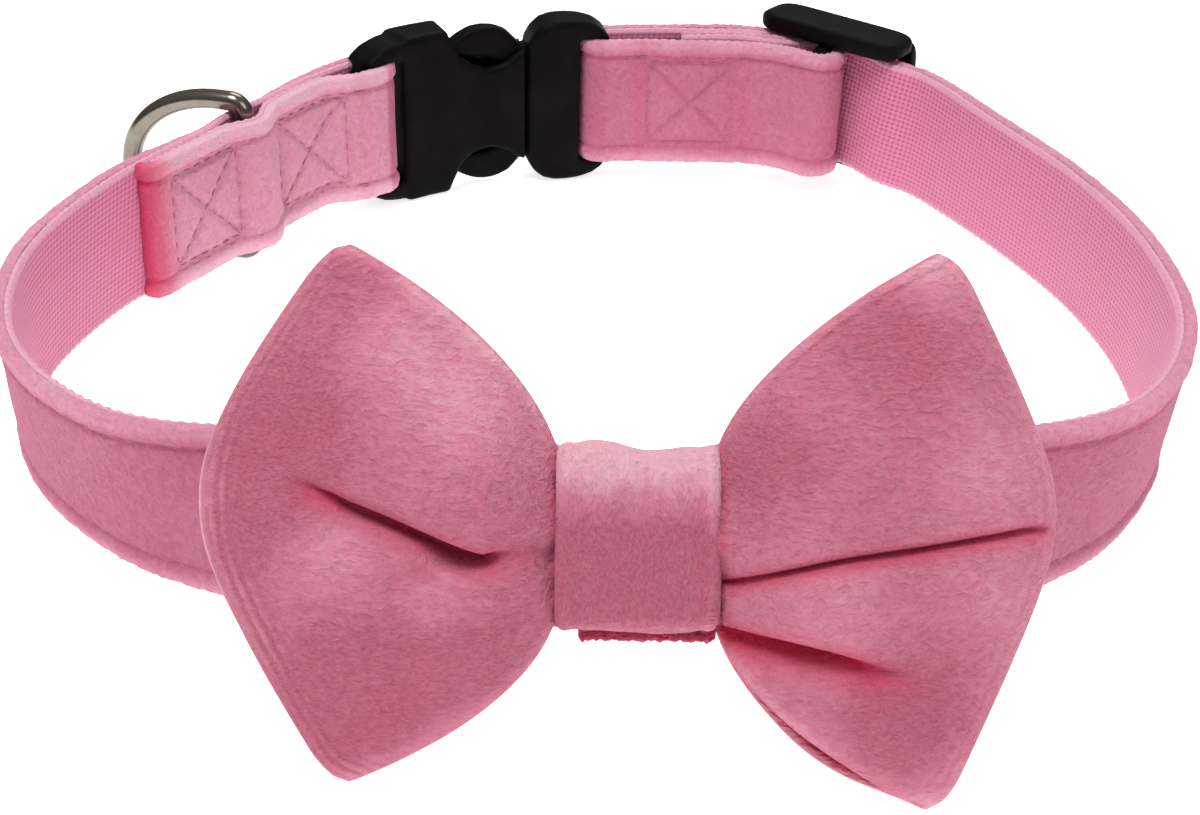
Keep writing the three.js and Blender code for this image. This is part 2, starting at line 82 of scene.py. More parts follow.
# Places along the strap, and of the buckle's two end bars
BUCKLE_AT, SLIDER_AT, RING_AT = 0.5475 * GIRTH, 0.411 * GIRTH, 0.656 * GIRTH
BAR_INSET = 25.8
FEMALE_BAR, MALE_BAR = BUCKLE_AT + BAR_INSET, BUCKLE_AT - BAR_INSET

# Distances between the layers: of the flap, of the returned end, and half of a turn round a bar
DOUBLED = 3.1
RETURN_DROP = 3.5
TURN = 3.55

# Slider: how far its middle bar lifts the strap, its rails, half length, top and front face
SLIDER_LIFT = 0.8
RAIL_AT = 14.2
SLIDER_HALF, SLIDER_TOP, SLIDER_FACE = 16, 17.0, 3.5

# Ring: its wire, how far out its straight bar lies, and how far along the strap the velvet keeps clear of it
RING_WIRE = 3.6
RING_OUT = 1 - RING_WIRE / 2 - 0.3 - WEBBING
RING_CLEAR = 32

# Bow, knot and loop: lean to the back, sizes, and how far the loop draws the strap's upper edge down
STRAP_LEAN = math.radians(40)
BOW_LEAN = math.radians(37)
KNOT_WIDTH, KNOT_DEPTH, KNOT_HEIGHT, KNOT_SHEET = 20.0, 16.4, 23.8, 2.6
LOOP_OUT, LOOP_IN = 3.6, 3.2
LOOP_WIDTH, LOOP_SHEET, LOOP_RIGHT = 17.6, 1.0, 1.9
GATHER, GATHER_HALF = 3.7, 21
BOW_OUT = KNOT_DEPTH / 2 + 0.75 + LOOP_OUT
BOW_LIFT = -1.0

# Sewing: the thread, stitches of the boxes, the velvet's curl at the flap's end, and the selvedge's knobs
THREAD_RADIUS = 0.15
SEAM_STITCH, SEAM_STITCH_HALF = 2.6, 0.9
CURL_RADIUS = 1.3
KNOB = 1.86


# Shapes shared by the pieces

def ease(t):
    """Smooth step from 0 to 1: the clamped t squared times (3 - 2t)."""
    t = np.clip(t, 0, 1)
    return t * t * (3 - 2 * t)


def bump(x, half):
    """Squared cosine hill, 1 at x = 0 and 0 from half outwards."""
    return np.where(np.abs(x) < half, np.cos(np.pi * x / (2 * half)) ** 2, 0.0)


def hill(x, width):
    """Gaussian hill of that width: e to the power of -(x / width) squared."""
    return np.exp(-((x / width) ** 2))


def power(x, e):
    """Sign of x times its size to the power e, as in a superellipse."""
    return np.sign(x) * np.abs(x) ** e


def ripples(x, y, size, turn=0.0, count=7):
    """Uneven ripples from -1 to 1: the mean of sines whose directions step by the golden angle."""
    total = 0.0
    for k in range(count):
        a = turn + 2.39996 * k
        wave = 2 * np.pi / (size * (0.72 + 0.09 * k))
        total = total + np.sin(wave * (x * math.cos(a) + y * math.sin(a)) + 1.7 * k * k + turn)
    return total / count ** 0.75


def near_line(x, y, x0, y0, x1, y1):
    """Distance from points to the straight line between two points."""
    dx, dy = x1 - x0, y1 - y0
    t = np.clip(((x - x0) * dx + (y - y0) * dy) / (dx * dx + dy * dy), 0, 1)
    return np.hypot(x - x0 - t * dx, y - y0 - t * dy)


def on_rows(table, x):
    """Value between the rows (x, value) of a table: straight from row to row, then the mean over 3 mm."""
    rows = np.array(table, dtype=float)
    return sum(np.interp(x + k, rows[:, 0], rows[:, 1]) for k in (-1.5, -0.75, 0, 0.75, 1.5)) / 5


def planform(t):
    """Smooth closed curve through the planform's rows: a uniform Catmull-Rom spline in every column."""
    n = len(PLANFORM)
    i = np.floor(t).astype(int)
    f = (t - i)[..., None]
    a, b, c, d = (PLANFORM[(i + k) % n] for k in (-1, 0, 1, 2))
    return b + 0.5 * f * (c - a + f * (2 * a - 5 * b + 4 * c - d + f * (3 * (b - c) + d - a)))


STEPS = np.arange(len(PLANFORM) * 40 + 1) / 40
LENGTHS = np.concatenate([[0], np.cumsum(np.hypot(*np.diff(planform(STEPS)[:, :2], axis=0).T))])
SCALE = GIRTH / LENGTHS[-1]


def raw_place(along, out, up, front_rise):
    """Point of the strap's frame before the part's origin is moved.

    along is the distance on the planform, out the distance from the joint of webbing and velvet along the
    outward normal turned by the lean, and up the height on the strap. The middle rises to the front by the
    planform's share.
    """
    along, out, up = np.broadcast_arrays(*(np.asarray(v, dtype=float) for v in (along, out, up)))
    t = np.interp((along / GIRTH % 1) * LENGTHS[-1], LENGTHS, STEPS) % len(PLANFORM)
    here, ahead = planform(t), planform((t + 0.01) % len(PLANFORM))
    d = ahead[..., :2] - here[..., :2]
    d = d / np.linalg.norm(d, axis=-1, keepdims=True)
    tilt = np.radians(here[..., 2])
    away = out * np.cos(tilt) - up * np.sin(tilt)
    middle = MIDDLE_HEIGHT + here[..., 3] * front_rise
    return np.stack([here[..., 0] * SCALE + d[..., 1] * away, here[..., 1] * SCALE - d[..., 0] * away,
                     middle + out * np.sin(tilt) + up * np.cos(tilt)], axis=-1)


JOINT = np.array(RECORD["behaviour"]["joints"][0]["pos_m"]) * 1000
SHIFT = JOINT - raw_place(RING_AT, RING_OUT, 0, 0)
LOOP_BOX = np.array(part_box("bow_loop")) * 1000
FRONT_HEIGHT = LOOP_BOX[:, 2].mean() - SHIFT[2] + (LOOP_IN - LOOP_OUT) / 2 * math.sin(STRAP_LEAN)


def place(along, out, up):
    """Point of the strap's frame in the row's frame, in millimetres."""
    return raw_place(along, out, up, FRONT_HEIGHT - MIDDLE_HEIGHT) + SHIFT


FRONT = place(0, 0, 0)


def leaning(points, lean):
    """Points drawn upright at the front of the strap, turned back about the x axis by the lean."""
    x, y, z = np.moveaxis(points, -1, 0)
    c, s = math.cos(lean), math.sin(lean)
    return np.stack([x, y * c + z * s, -y * s + z * c], axis=-1) + FRONT


def bow_space(points):
    """Points of the bow's own frame (x right, -y to the front, z up) in the row's frame."""
    return leaning(points + [0, -BOW_OUT, BOW_LIFT], BOW_LEAN)


# Meshes

def new_piece(name, points, faces, finish, body="collar", uv=None, marks=None):
    """Object from points in millimetres and faces, at the origin, riding on a body."""
    mesh = bpy.data.meshes.new(name)
    mesh.from_pydata((np.asarray(points).reshape(-1, 3) * 0.001).tolist(), [], faces)
    if uv is not None:
        layer = mesh.uv_layers.new(name="cloth")
        index = np.empty(len(mesh.loops), dtype=np.int32)
        mesh.loops.foreach_get("vertex_index", index)
        layer.data.foreach_set("uv", np.asarray(uv, dtype=np.float32).reshape(-1, 2)[index].ravel())
    for key, values in (marks or {}).items():
        field = mesh.attributes.new(key, "FLOAT", "POINT")
        field.data.foreach_set("value", np.asarray(values, dtype=np.float32).ravel())
    mesh.polygons.foreach_set("use_smooth", np.full(len(mesh.polygons), True))
    mesh.update()
    mesh.materials.append(finish)
    piece = bpy.data.objects.new(name, mesh)
    bpy.context.scene.collection.objects.link(piece)
    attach(piece, body)
    return piece


def grid_faces(rows, columns, ring_rows, ring_columns):
    """Quads of a grid of points, closed in either direction where asked."""
    i = np.arange(rows if ring_rows else rows - 1)[:, None]
    j = np.arange(columns if ring_columns else columns - 1)[None, :]
    a, b = i * columns + j, i * columns + (j + 1) % columns
    c, d = (i + 1) % rows * columns + (j + 1) % columns, (i + 1) % rows * columns + j
    return np.stack([a, b, c, d], axis=-1).reshape(-1, 4).tolist()


def outwards(points, faces):
    """Faces turned so that the closed surface's volume is positive."""
    p = np.asarray(points).reshape(-1, 3)
    p = p - p.mean(axis=0)
    volume = 0.0
    for size in {len(f) for f in faces}:
        q = np.array([f for f in faces if len(f) == size])
        for k in range(1, size - 1):
            volume += np.einsum("ij,ij->i", p[q[:, 0]], np.cross(p[q[:, k]], p[q[:, k + 1]])).sum()
    return faces if volume > 0 else [f[::-1] for f in faces]


def tube(points):
    """Faces of sections of equal point count (rows x columns x 3), with a flat polygon on each end."""
    rows, columns = points.shape[:2]
    faces = grid_faces(rows, columns, False, True)
    faces.append(list(range(columns - 1, -1, -1)))
    faces.append(list(range((rows - 1) * columns, rows * columns)))
    return outwards(points, faces)


def joined(parts):
    """Several (points, faces) as one."""
    points, faces, first = [], [], 0
    for p, f in parts:
        p = np.asarray(p).reshape(-1, 3)
        points.append(p)
        faces.extend([[k + first for k in face] for face in f])
        first += len(p)
    return np.concatenate(points), faces


# Path of the strap

def outer_layer(x):
    """Distance out of the outer layer: raised over slider's and ring's bar, dipped under the rails."""
    s = x - SLIDER_AT
    rails = bump(s - RAIL_AT, 9) + bump(s + RAIL_AT, 9)
    return SLIDER_LIFT * bump(s, 9) - 1.2 * rails + bump(x - RING_AT, 9)


def flap_layer(x):
    """Distance out of the flap, turned in at the buckle's socket half and sewn down round the ring."""
    near_bar = (2 * TURN - DOUBLED) * (1 - ease((x - FEMALE_BAR - 4.5) / 9))
    return outer_layer(x) - DOUBLED - near_bar - 3.9 * bump(x - RING_AT, 8)


def return_layer(x):
    """Distance out of the strip's returned end beyond the slider."""
    return outer_layer(x) - RETURN_DROP


def inner_layer(x):
    """Distance out of the layer between the buckle's prong half and the slider's bar: an even slope."""
    share = (x - SLIDER_AT) / (MALE_BAR - SLIDER_AT)
    return (SLIDER_LIFT - RETURN_DROP - 2 * TURN) * (1 - share) - 2 * TURN * share


def strap_path(step):
    """Stations of the strip as (along, out, layer number), from the flap's end to the returned end.

    Straight runs are sampled evenly on their layer, and the turns round bars are half circles.
    """
    def walk(a, b, layer, number):
        x = np.linspace(a, b, max(int(abs(b - a) / step), 2))
        return np.stack([x, layer(x), np.full_like(x, number)], axis=1)

    def turn(along, out, side, up, number):
        a = np.radians(np.linspace(-90, 90, max(int(math.pi * TURN / step), 8) + 1)[1:-1])
        x, y = along + side * TURN * np.cos(a), out + up * TURN * np.sin(a)
        return np.stack([x, y, np.full_like(a, number)], axis=1)

    slider_out = SLIDER_LIFT - RETURN_DROP - TURN
    return np.concatenate([
        walk(FEMALE_BAR + FLAP, FEMALE_BAR, flap_layer, 0),
        turn(FEMALE_BAR, -TURN, -1, 1, 0.5),
        walk(FEMALE_BAR, GIRTH + MALE_BAR, lambda x: outer_layer(x % GIRTH), 1),
        turn(GIRTH + MALE_BAR, -TURN, 1, -1, 1.5),
        walk(GIRTH + MALE_BAR, GIRTH + SLIDER_AT, lambda x: inner_layer(x - GIRTH), 2),
        turn(GIRTH + SLIDER_AT, slider_out, -1, 1, 2.5),
        walk(GIRTH + SLIDER_AT, GIRTH + SLIDER_AT + RETURNED, lambda x: return_layer(x - GIRTH), 3),
    ])


def strip_frame(path):
    """Distance run along the strip, and its direction in the plane of (along, out), at each station."""
    steps = np.diff(path[:, :2], axis=0)
    run = np.concatenate([[0], np.cumsum(np.hypot(*steps.T))])
    toward = np.gradient(path[:, :2], axis=0)
    toward /= np.linalg.norm(toward, axis=1, keepdims=True)
    return run, toward


def on_strip(path, toward, depth, width):
    """Points at a depth across the strip's thickness (velvet side positive) and a place on its width."""
    along = path[:, None, 0] - depth * toward[:, None, 1]
    return place(along, path[:, None, 1] + depth * toward[:, None, 0], width)


def strip_map(run, width):
    """UV map of the strip in metres: the distance run along it, and the place on its width."""
    return np.stack([np.broadcast_to(run[:, None], width.shape) / 1000, width / 1000], axis=-1)


# Materials

def node(tree, kind, values=None, **settings):
    """Shader node with settings and with values put on its inputs by name or number."""
    made = tree.nodes.new(kind)
    for key, value in settings.items():
        setattr(made, key, value)
    for key, value in (values or {}).items():
        if isinstance(value, bpy.types.NodeSocket):
            tree.links.new(value, made.inputs[key])
        else:
            made.inputs[key].default_value = value
    return made


def maths(tree, kind, a, b=0.0, c=None):
    """One step of arithmetic between sockets and numbers."""
    values = {0: a, 1: b}
    if c is not None:
        values[2] = c
    return node(tree, "ShaderNodeMath", values, operation=kind).outputs[0]


def mixed(tree, share, a, b):
    """Colour a turning into colour b by a share from 0 to 1."""
    made = node(tree, "ShaderNodeMix", data_type="RGBA")
    for key, value in ((0, share), (6, a), (7, b)):
        if isinstance(value, bpy.types.NodeSocket):
            tree.links.new(value, made.inputs[key])
        else:
            made.inputs[key].default_value = value
    return made.outputs[2]


def noise(tree, vector, scale, detail=3.0, roughness=0.55):
    """Noise of that many features a metre."""
    values = {"Vector": vector, "Scale": scale, "Detail": detail, "Roughness": roughness}
    return node(tree, "ShaderNodeTexNoise", values).outputs["Fac"]


def shaped(tree, share, low, high):
    """Share stretched so that low becomes 0 and high becomes 1."""
    values = {"Value": share, "From Min": low, "From Max": high}
    return node(tree, "ShaderNodeMapRange", values, clamp=True).outputs[0]


def start(name, settings):
    """New material with its Principled shader, whose plain numbers are set on its own sockets."""
    made = bpy.data.materials.new(name)
    made.use_nodes = True
    tree = made.node_tree
    shader = tree.nodes["Principled BSDF"]
    for key, value in settings.items():
        shader.inputs[key].default_value = value
    return made, tree, shader


def dressed(made, tree, shader, base, height, strength, distance):
    """Material with a colour and a relief linked to its shader."""
    tree.links.new(base, shader.inputs["Base Color"])
    relief = node(tree, "ShaderNodeBump", {"Height": height, "Strength": strength, "Distance": distance})
    tree.links.new(relief.outputs[0], shader.inputs["Normal"])
    return made


def times(colour, factors):
    """Colour with each channel multiplied by its own factor, at most 1, and with its alpha."""
    return (*(min(c * f, 1) for c, f in zip(colour, factors)), 1.0)


def four(colour):
    """Colour with its alpha."""
    return (*colour[:3], 1.0)


def velvet(name, deep, middle, pale, pile=(1.0, 1.0, 1.0), rough=1.0):
    """Short pile velvet: soft patches, short strokes and grain.

    It is painted crimson as shade where the attribute fold is high, and paler where brushed pile and painted
    light are marked.
    """
    made, tree, shader = start(name, {
        "Roughness": 0.9, "Specular IOR Level": 0.05, "Sheen Weight": 0.20, "Sheen Roughness": 0.5,
        "Sheen Tint": (1.0, 0.52, 0.62, 1.0), "Subsurface Weight": 0.34, "Subsurface Scale": 0.0035,
        "Subsurface Radius": (1.0, 0.10, 0.14),
    })
    place_on = node(tree, "ShaderNodeTexCoord").outputs["Object"]
    combed = node(tree, "ShaderNodeMapping", {"Vector": place_on, "Scale": pile}).outputs[0]
    bent = node(tree, "ShaderNodeTexNoise", {"Vector": place_on, "Scale": 260.0, "Detail": 2.0})
    shift = {0: bent.outputs["Color"], 1: (0.0016, 0.0016, 0.0016), 2: combed}
    combed = node(tree, "ShaderNodeVectorMath", shift, operation="MULTIPLY_ADD").outputs[0]
    patches = shaped(tree, noise(tree, place_on, 62.0, 2.5), 0.3, 0.7)
    strokes = shaped(tree, noise(tree, combed, 880.0, 2.5, 0.65), 0.34, 0.66)
    grain = shaped(tree, noise(tree, combed, 2600.0, 2.0), 0.3, 0.7)
    # Paler pile: partly brushed nap, partly painted light on faces turned up and a painted highlight along
    # edges
    nap_and_light = node(tree, "ShaderNodeAttribute", attribute_name="nap_and_light").outputs["Fac"]
    raised = maths(tree, "MULTIPLY_ADD", patches, 0.30 * rough, maths(tree, "MULTIPLY", nap_and_light, 1.25))
    raised = maths(tree, "MULTIPLY_ADD", strokes, 0.46 * rough, raised)
    base = mixed(tree, shaped(tree, raised, 0.0, 0.85), four(deep), four(middle))
    base = mixed(tree, shaped(tree, raised, 0.85, 1.9), base, four(pale))
    base = mixed(tree, maths(tree, "MULTIPLY", grain, 0.20 * rough), base, four(pale))
    # Painted shade: crimson where the fold attribute is high, in creases, seams and hollows
    fold = node(tree, "ShaderNodeAttribute", attribute_name="fold").outputs["Fac"]
    base = mixed(tree, shaped(tree, fold, 0.0, 1.1), base, times(deep, (1.4, 0.15, 0.48)))
    height = maths(tree, "MULTIPLY_ADD", strokes, 1.0, maths(tree, "MULTIPLY", grain, 0.5))
    return dressed(made, tree, shader, base, height, 0.9 * rough, 0.00036)


def nylon(name, colour, cell):
    """Plain woven webbing: rounded cells in columns, each a little offset, with painted shade in the pits
    between them.
    """
    made, tree, shader = start(name, {
        "Roughness": 0.6, "Specular IOR Level": 0.25, "Sheen Weight": 0.15, "Sheen Roughness": 0.4,
        "Sheen Tint": (1.0, 0.75, 0.88, 1.0),
    })
    where = node(tree, "ShaderNodeSeparateXYZ", {0: node(tree, "ShaderNodeTexCoord").outputs["UV"]})
    along = maths(tree, "DIVIDE", where.outputs[0], cell[0])
    across = maths(tree, "DIVIDE", where.outputs[1], cell[1])
    column = maths(tree, "FLOOR", across)
    along = maths(tree, "MULTIPLY_ADD", column, 0.14, along)
    u = maths(tree, "ABSOLUTE", maths(tree, "SINE", maths(tree, "MULTIPLY", along, math.pi)))
    v = maths(tree, "ABSOLUTE", maths(tree, "SINE", maths(tree, "MULTIPLY", across, math.pi)))
    lines = maths(tree, "POWER", maths(tree, "MULTIPLY", u, v), 0.5)
    pits = maths(tree, "MULTIPLY", maths(tree, "SUBTRACT", 1.0, u), maths(tree, "SUBTRACT", 1.0, v))
    cells = maths(tree, "MULTIPLY_ADD", pits, -0.9, lines)
    threads = {k: maths(tree, "MULTIPLY", where.outputs[k], pull) for k, pull in enumerate((0.4, 3.0))}
    fine = noise(tree, node(tree, "ShaderNodeCombineXYZ", threads).outputs[0], 2.2, 2.0)
    # Painted shade: the pits between the cells take a deeper colour
    pit_shade, light = times(colour, (0.70, 0.28, 0.42)), times(colour, (1.12, 1.7, 1.35))
    base = mixed(tree, shaped(tree, cells, -0.35, 0.55), pit_shade, four(colour))
    base = mixed(tree, maths(tree, "MULTIPLY", shaped(tree, fine, 0.4, 0.75), 0.45), base, light)
    selvedge = shaped(tree, maths(tree, "ABSOLUTE", where.outputs[1]), 0.0112, 0.0121)
    base = mixed(tree, maths(tree, "MULTIPLY", selvedge, 0.9), base, light)
    height = maths(tree, "MULTIPLY_ADD", fine, 0.25, cells)
    return dressed(made, tree, shader, base, height, 0.5, 0.00022)


def moulded(name, colour):
    """Moulded acetal: fine spark texture in relief, uneven gloss and paler rubbed spots."""
    made, tree, shader = start(name, {"Roughness": 0.5, "Specular IOR Level": 0.05, "IOR": 1.48})
    place_on = node(tree, "ShaderNodeTexCoord").outputs["Object"]
    spark = noise(tree, place_on, 2800.0, 3.0, 0.6)
    cloud = noise(tree, place_on, 140.0, 4.0)
    pale = (colour[0] * 1.6 + 0.002, colour[1] * 1.6 + 0.002, colour[2] * 1.6 + 0.0025, 1.0)
    base = mixed(tree, shaped(tree, cloud, 0.45, 0.85), four(colour), pale)
    gloss = node(tree, "ShaderNodeMapRange", {"Value": cloud, "To Min": 0.42, "To Max": 0.6}).outputs[0]
    tree.links.new(gloss, shader.inputs["Roughness"])
    return dressed(made, tree, shader, base, spark, 0.18, 0.0001)


def nickel(name, colour):
    """Nickel plated wire: bright metal with faint drawing marks and uneven gloss."""
    made, tree, shader = start(name, {"Metallic": 1.0, "Roughness": 0.16})
    place_on = node(tree, "ShaderNodeTexCoord").outputs["Object"]
    cloud = noise(tree, place_on, 320.0, 4.0)
    base = mixed(tree, shaped(tree, cloud, 0.4, 0.8), four(colour), times(colour, (0.8, 0.77, 0.7)))
    gloss = node(tree, "ShaderNodeMapRange", {"Value": cloud, "To Min": 0.1, "To Max": 0.26}).outputs[0]
    tree.links.new(gloss, shader.inputs["Roughness"])
    return dressed(made, tree, shader, base, cloud, 0.12, 0.0002)


def thread(name, colour):
    """Twisted polyester thread: fine oblique turns along the stitch."""
    made, tree, shader = start(name, {"Roughness": 0.5, "Specular IOR Level": 0.4, "Sheen Weight": 0.3})
    place_on = node(tree, "ShaderNodeTexCoord").outputs["Object"]
    twist = noise(tree, place_on, 4200.0, 2.0)
    base = mixed(tree, shaped(tree, twist, 0.35, 0.7), times(colour, (0.7, 0.5, 0.6)), four(colour))
    return dressed(made, tree, shader, base, twist, 0.5, 0.0001)


# Settings

def colour_prop(name, description, default):
    """Colour setting with its own default."""
    return bpy.props.FloatVectorProperty(
        name=name, description=description, subtype="COLOR", size=3, min=0.0, max=1.0, default=default)


def length_prop(name, description, default):
    """Length setting in metres."""
    return bpy.props.FloatProperty(
        name=name, description=description, subtype="DISTANCE", unit="LENGTH", min=0.0, default=default,
        precision=5)


class StrapSettings(bpy.types.PropertyGroup):
    """Sizes and colours of the strap."""
    webbing_colour: colour_prop("Webbing", "Colour of the nylon webbing", (0.62, 0.20, 0.34))
    velvet_deep: colour_prop("Velvet, deep", "Colour where its pile stands up", (0.400, 0.088, 0.145))
    velvet_middle: colour_prop("Velvet", "Colour where its pile lies down", (0.55, 0.178, 0.258))
    velvet_pale: colour_prop("Velvet, pale", "Colour of the tips of the pile", (0.70, 0.39, 0.455))
    thread_colour: colour_prop("Thread", "Colour of the sewing thread", (0.54, 0.17, 0.27))
    hem: length_prop("Hem", "Width of the folded hem at each edge of the velvet", 0.0029)
    stitch: length_prop("Stitch", "Length from one stitch to the next", 0.0031)
    cell_along: length_prop("Weave, along", "Length of one cell of the webbing's weave", 0.0011)
    cell_across: length_prop("Weave, across", "Width of one cell of the webbing's weave", 0.00095)


class BowSettings(bpy.types.PropertyGroup):
    """Sizes of the bow and its knot."""
    puff: length_prop("Puff", "How far each wing bulges to the front", 0.0094)
    crease: bpy.props.FloatProperty(
        name="Crease", description="Depth of the folds, as a share of the real bow's", subtype="FACTOR",
        min=0.0, max=1.5, default=1.0)
    cloth: length_prop("Cloth", "Thickness of the velvet with its lining", 0.0017)


class HardwareSettings(bpy.types.PropertyGroup):
    """Colours and forms of the buckle, slider and D-ring."""
    plastic_colour: colour_prop("Plastic", "Colour of the moulded plastic", (0.0030, 0.0026, 0.0032))
    steel_colour: colour_prop("Steel", "Colour of the plated wire", (0.23, 0.212, 0.18))
    grain: length_prop("Grain", "Size of the cells that the moulded pieces are made of", 0.00042)
    rounds: bpy.props.IntProperty(
        name="Rounding", description="How many times the moulded pieces are smoothed",
        min=0, max=60, default=12)


class StageSettings(bpy.types.PropertyGroup):
    """Floor, light and camera."""
    floor_colour: colour_prop("Floor", "Colour of the floor", (0.90, 0.895, 0.89))
    light: bpy.props.FloatProperty(name="Light", description="Strength of all lights", min=0.0, default=1.0)
    lens: bpy.props.FloatProperty(
        name="Lens", description="Focal length of the camera on a 36 mm wide sensor",
        subtype="DISTANCE_CAMERA", min=1.0, default=56.85)


def strap_velvet(strap):
    """The strap's velvet, flatter and a little bluer than the bow's."""
    deep, middle, pale = [[c * k for c, k in zip(colour, (1.01, 1.07, 1.13))]
                          for colour in (strap.velvet_deep, strap.velvet_middle, strap.velvet_pale)]
    return velvet("strap_velvet", deep, middle, pale, rough=0.75)


def bow_velvet(strap):
    """The bow's velvet, brushed along the wings."""
    return velvet("bow_velvet", strap.velvet_deep, strap.velvet_middle, strap.velvet_pale, (0.55, 1.0, 1.25))


def plastic(hardware):
    """The plastic of buckle and slider, made once and shared."""
    return bpy.data.materials.get("black_acetal") or moulded("black_acetal", hardware.plastic_colour)


# Strap pieces

# Sewn boxes on the velvet side: layer number, from and to along the strip, half height
SEWN_BOXES = [
    (0, FEMALE_BAR + 8.5, FEMALE_BAR + 26, 8.6),
    (0, FEMALE_BAR + 38.5, FEMALE_BAR + 54.5, 8.6),
    (2, GIRTH + SLIDER_AT + 22.5, GIRTH + SLIDER_AT + 40, 8.4),
]

# Steps in the velvet where a layer below begins or ends: layer number, place along the strip
LAYER_ENDS = [(2, GIRTH + SLIDER_AT + 19.6), (2, GIRTH + SLIDER_AT + 42), (0, FEMALE_BAR + 5.5)]


def sewn_lines():
    """Straight seams of the sewn boxes: (layer, along from, height from, along to, height to)."""
    rows = []
    for layer, a, b, h in SEWN_BOXES:
        rows += [(layer, a, -h, b, -h), (layer, b, -h, b, h), (layer, b, h, a, h), (layer, a, h, a, -h),
                 (layer, a, -h, b, h), (layer, a, h, b, -h)]
    return rows


def seam_depth(path, width):
    """How near each point of the velvet is to a seam of a sewn box: a Gaussian of its distance."""
    depth = np.zeros(width.shape)
    along = np.broadcast_to(path[:, None, 0], width.shape)
    for layer, a, ha, b, hb in sewn_lines():
        on = np.abs(path[:, 2] - layer) < 0.1
        away = near_line(along[on], width[on], a, ha, b, hb)
        depth[on] = np.maximum(depth[on], hill(away, 0.62))
    return depth


def gathered(along, width):
    """Places on the width, with the strap's upper edge drawn down where the bow's loop holds it."""
    middle = bump((along + GIRTH / 2) % GIRTH - GIRTH / 2, GATHER_HALF)
    return width - GATHER * middle * ease(width / HALF_WIDTH)


def make_webbing(strap):
    """Webbing: a flat profile with knobbly rounded selvedges carried along the strip's path."""
    path = strap_path(0.62)[2:]
    run, toward = strip_frame(path)
    half, round_edge = HALF_WIDTH + 0.1, WEBBING / 2
    arc = np.radians([-60, -30, 0, 30, 60])
    flat, inside, outside = half - round_edge, 33, 9
    width = np.concatenate([np.linspace(-flat, flat, inside), flat + round_edge * np.cos(arc),
                            np.linspace(flat, -flat, outside), -flat - round_edge * np.cos(arc)])
    depth = np.concatenate([np.full(inside, -WEBBING), -round_edge + round_edge * np.sin(arc),
                            np.full(outside, -0.02), -round_edge - round_edge * np.sin(arc)])
    edge = ease((np.abs(width) - half + WEBBING) / 1.2)
    turns = 2 * np.pi * run / KNOB
    knobs = 0.15 * np.sin(turns)[:, None] * edge
    depth = depth + knobs * np.where(depth > -round_edge, 0.3, -1)
    wander = 0.07 * np.sin(turns + 0.8) + 0.08 * ripples(run, 0, 23)
    width = width + wander[:, None] * edge * np.sign(width)
    points = on_strip(path, toward, depth, gathered(path[:, None, 0], width))
    finish = nylon("pink_webbing", strap.webbing_colour, (strap.cell_along, strap.cell_across))
    piece = new_piece("webbing_strip", points, tube(points), finish, uv=strip_map(run, width))
    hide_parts("collar_webbing")


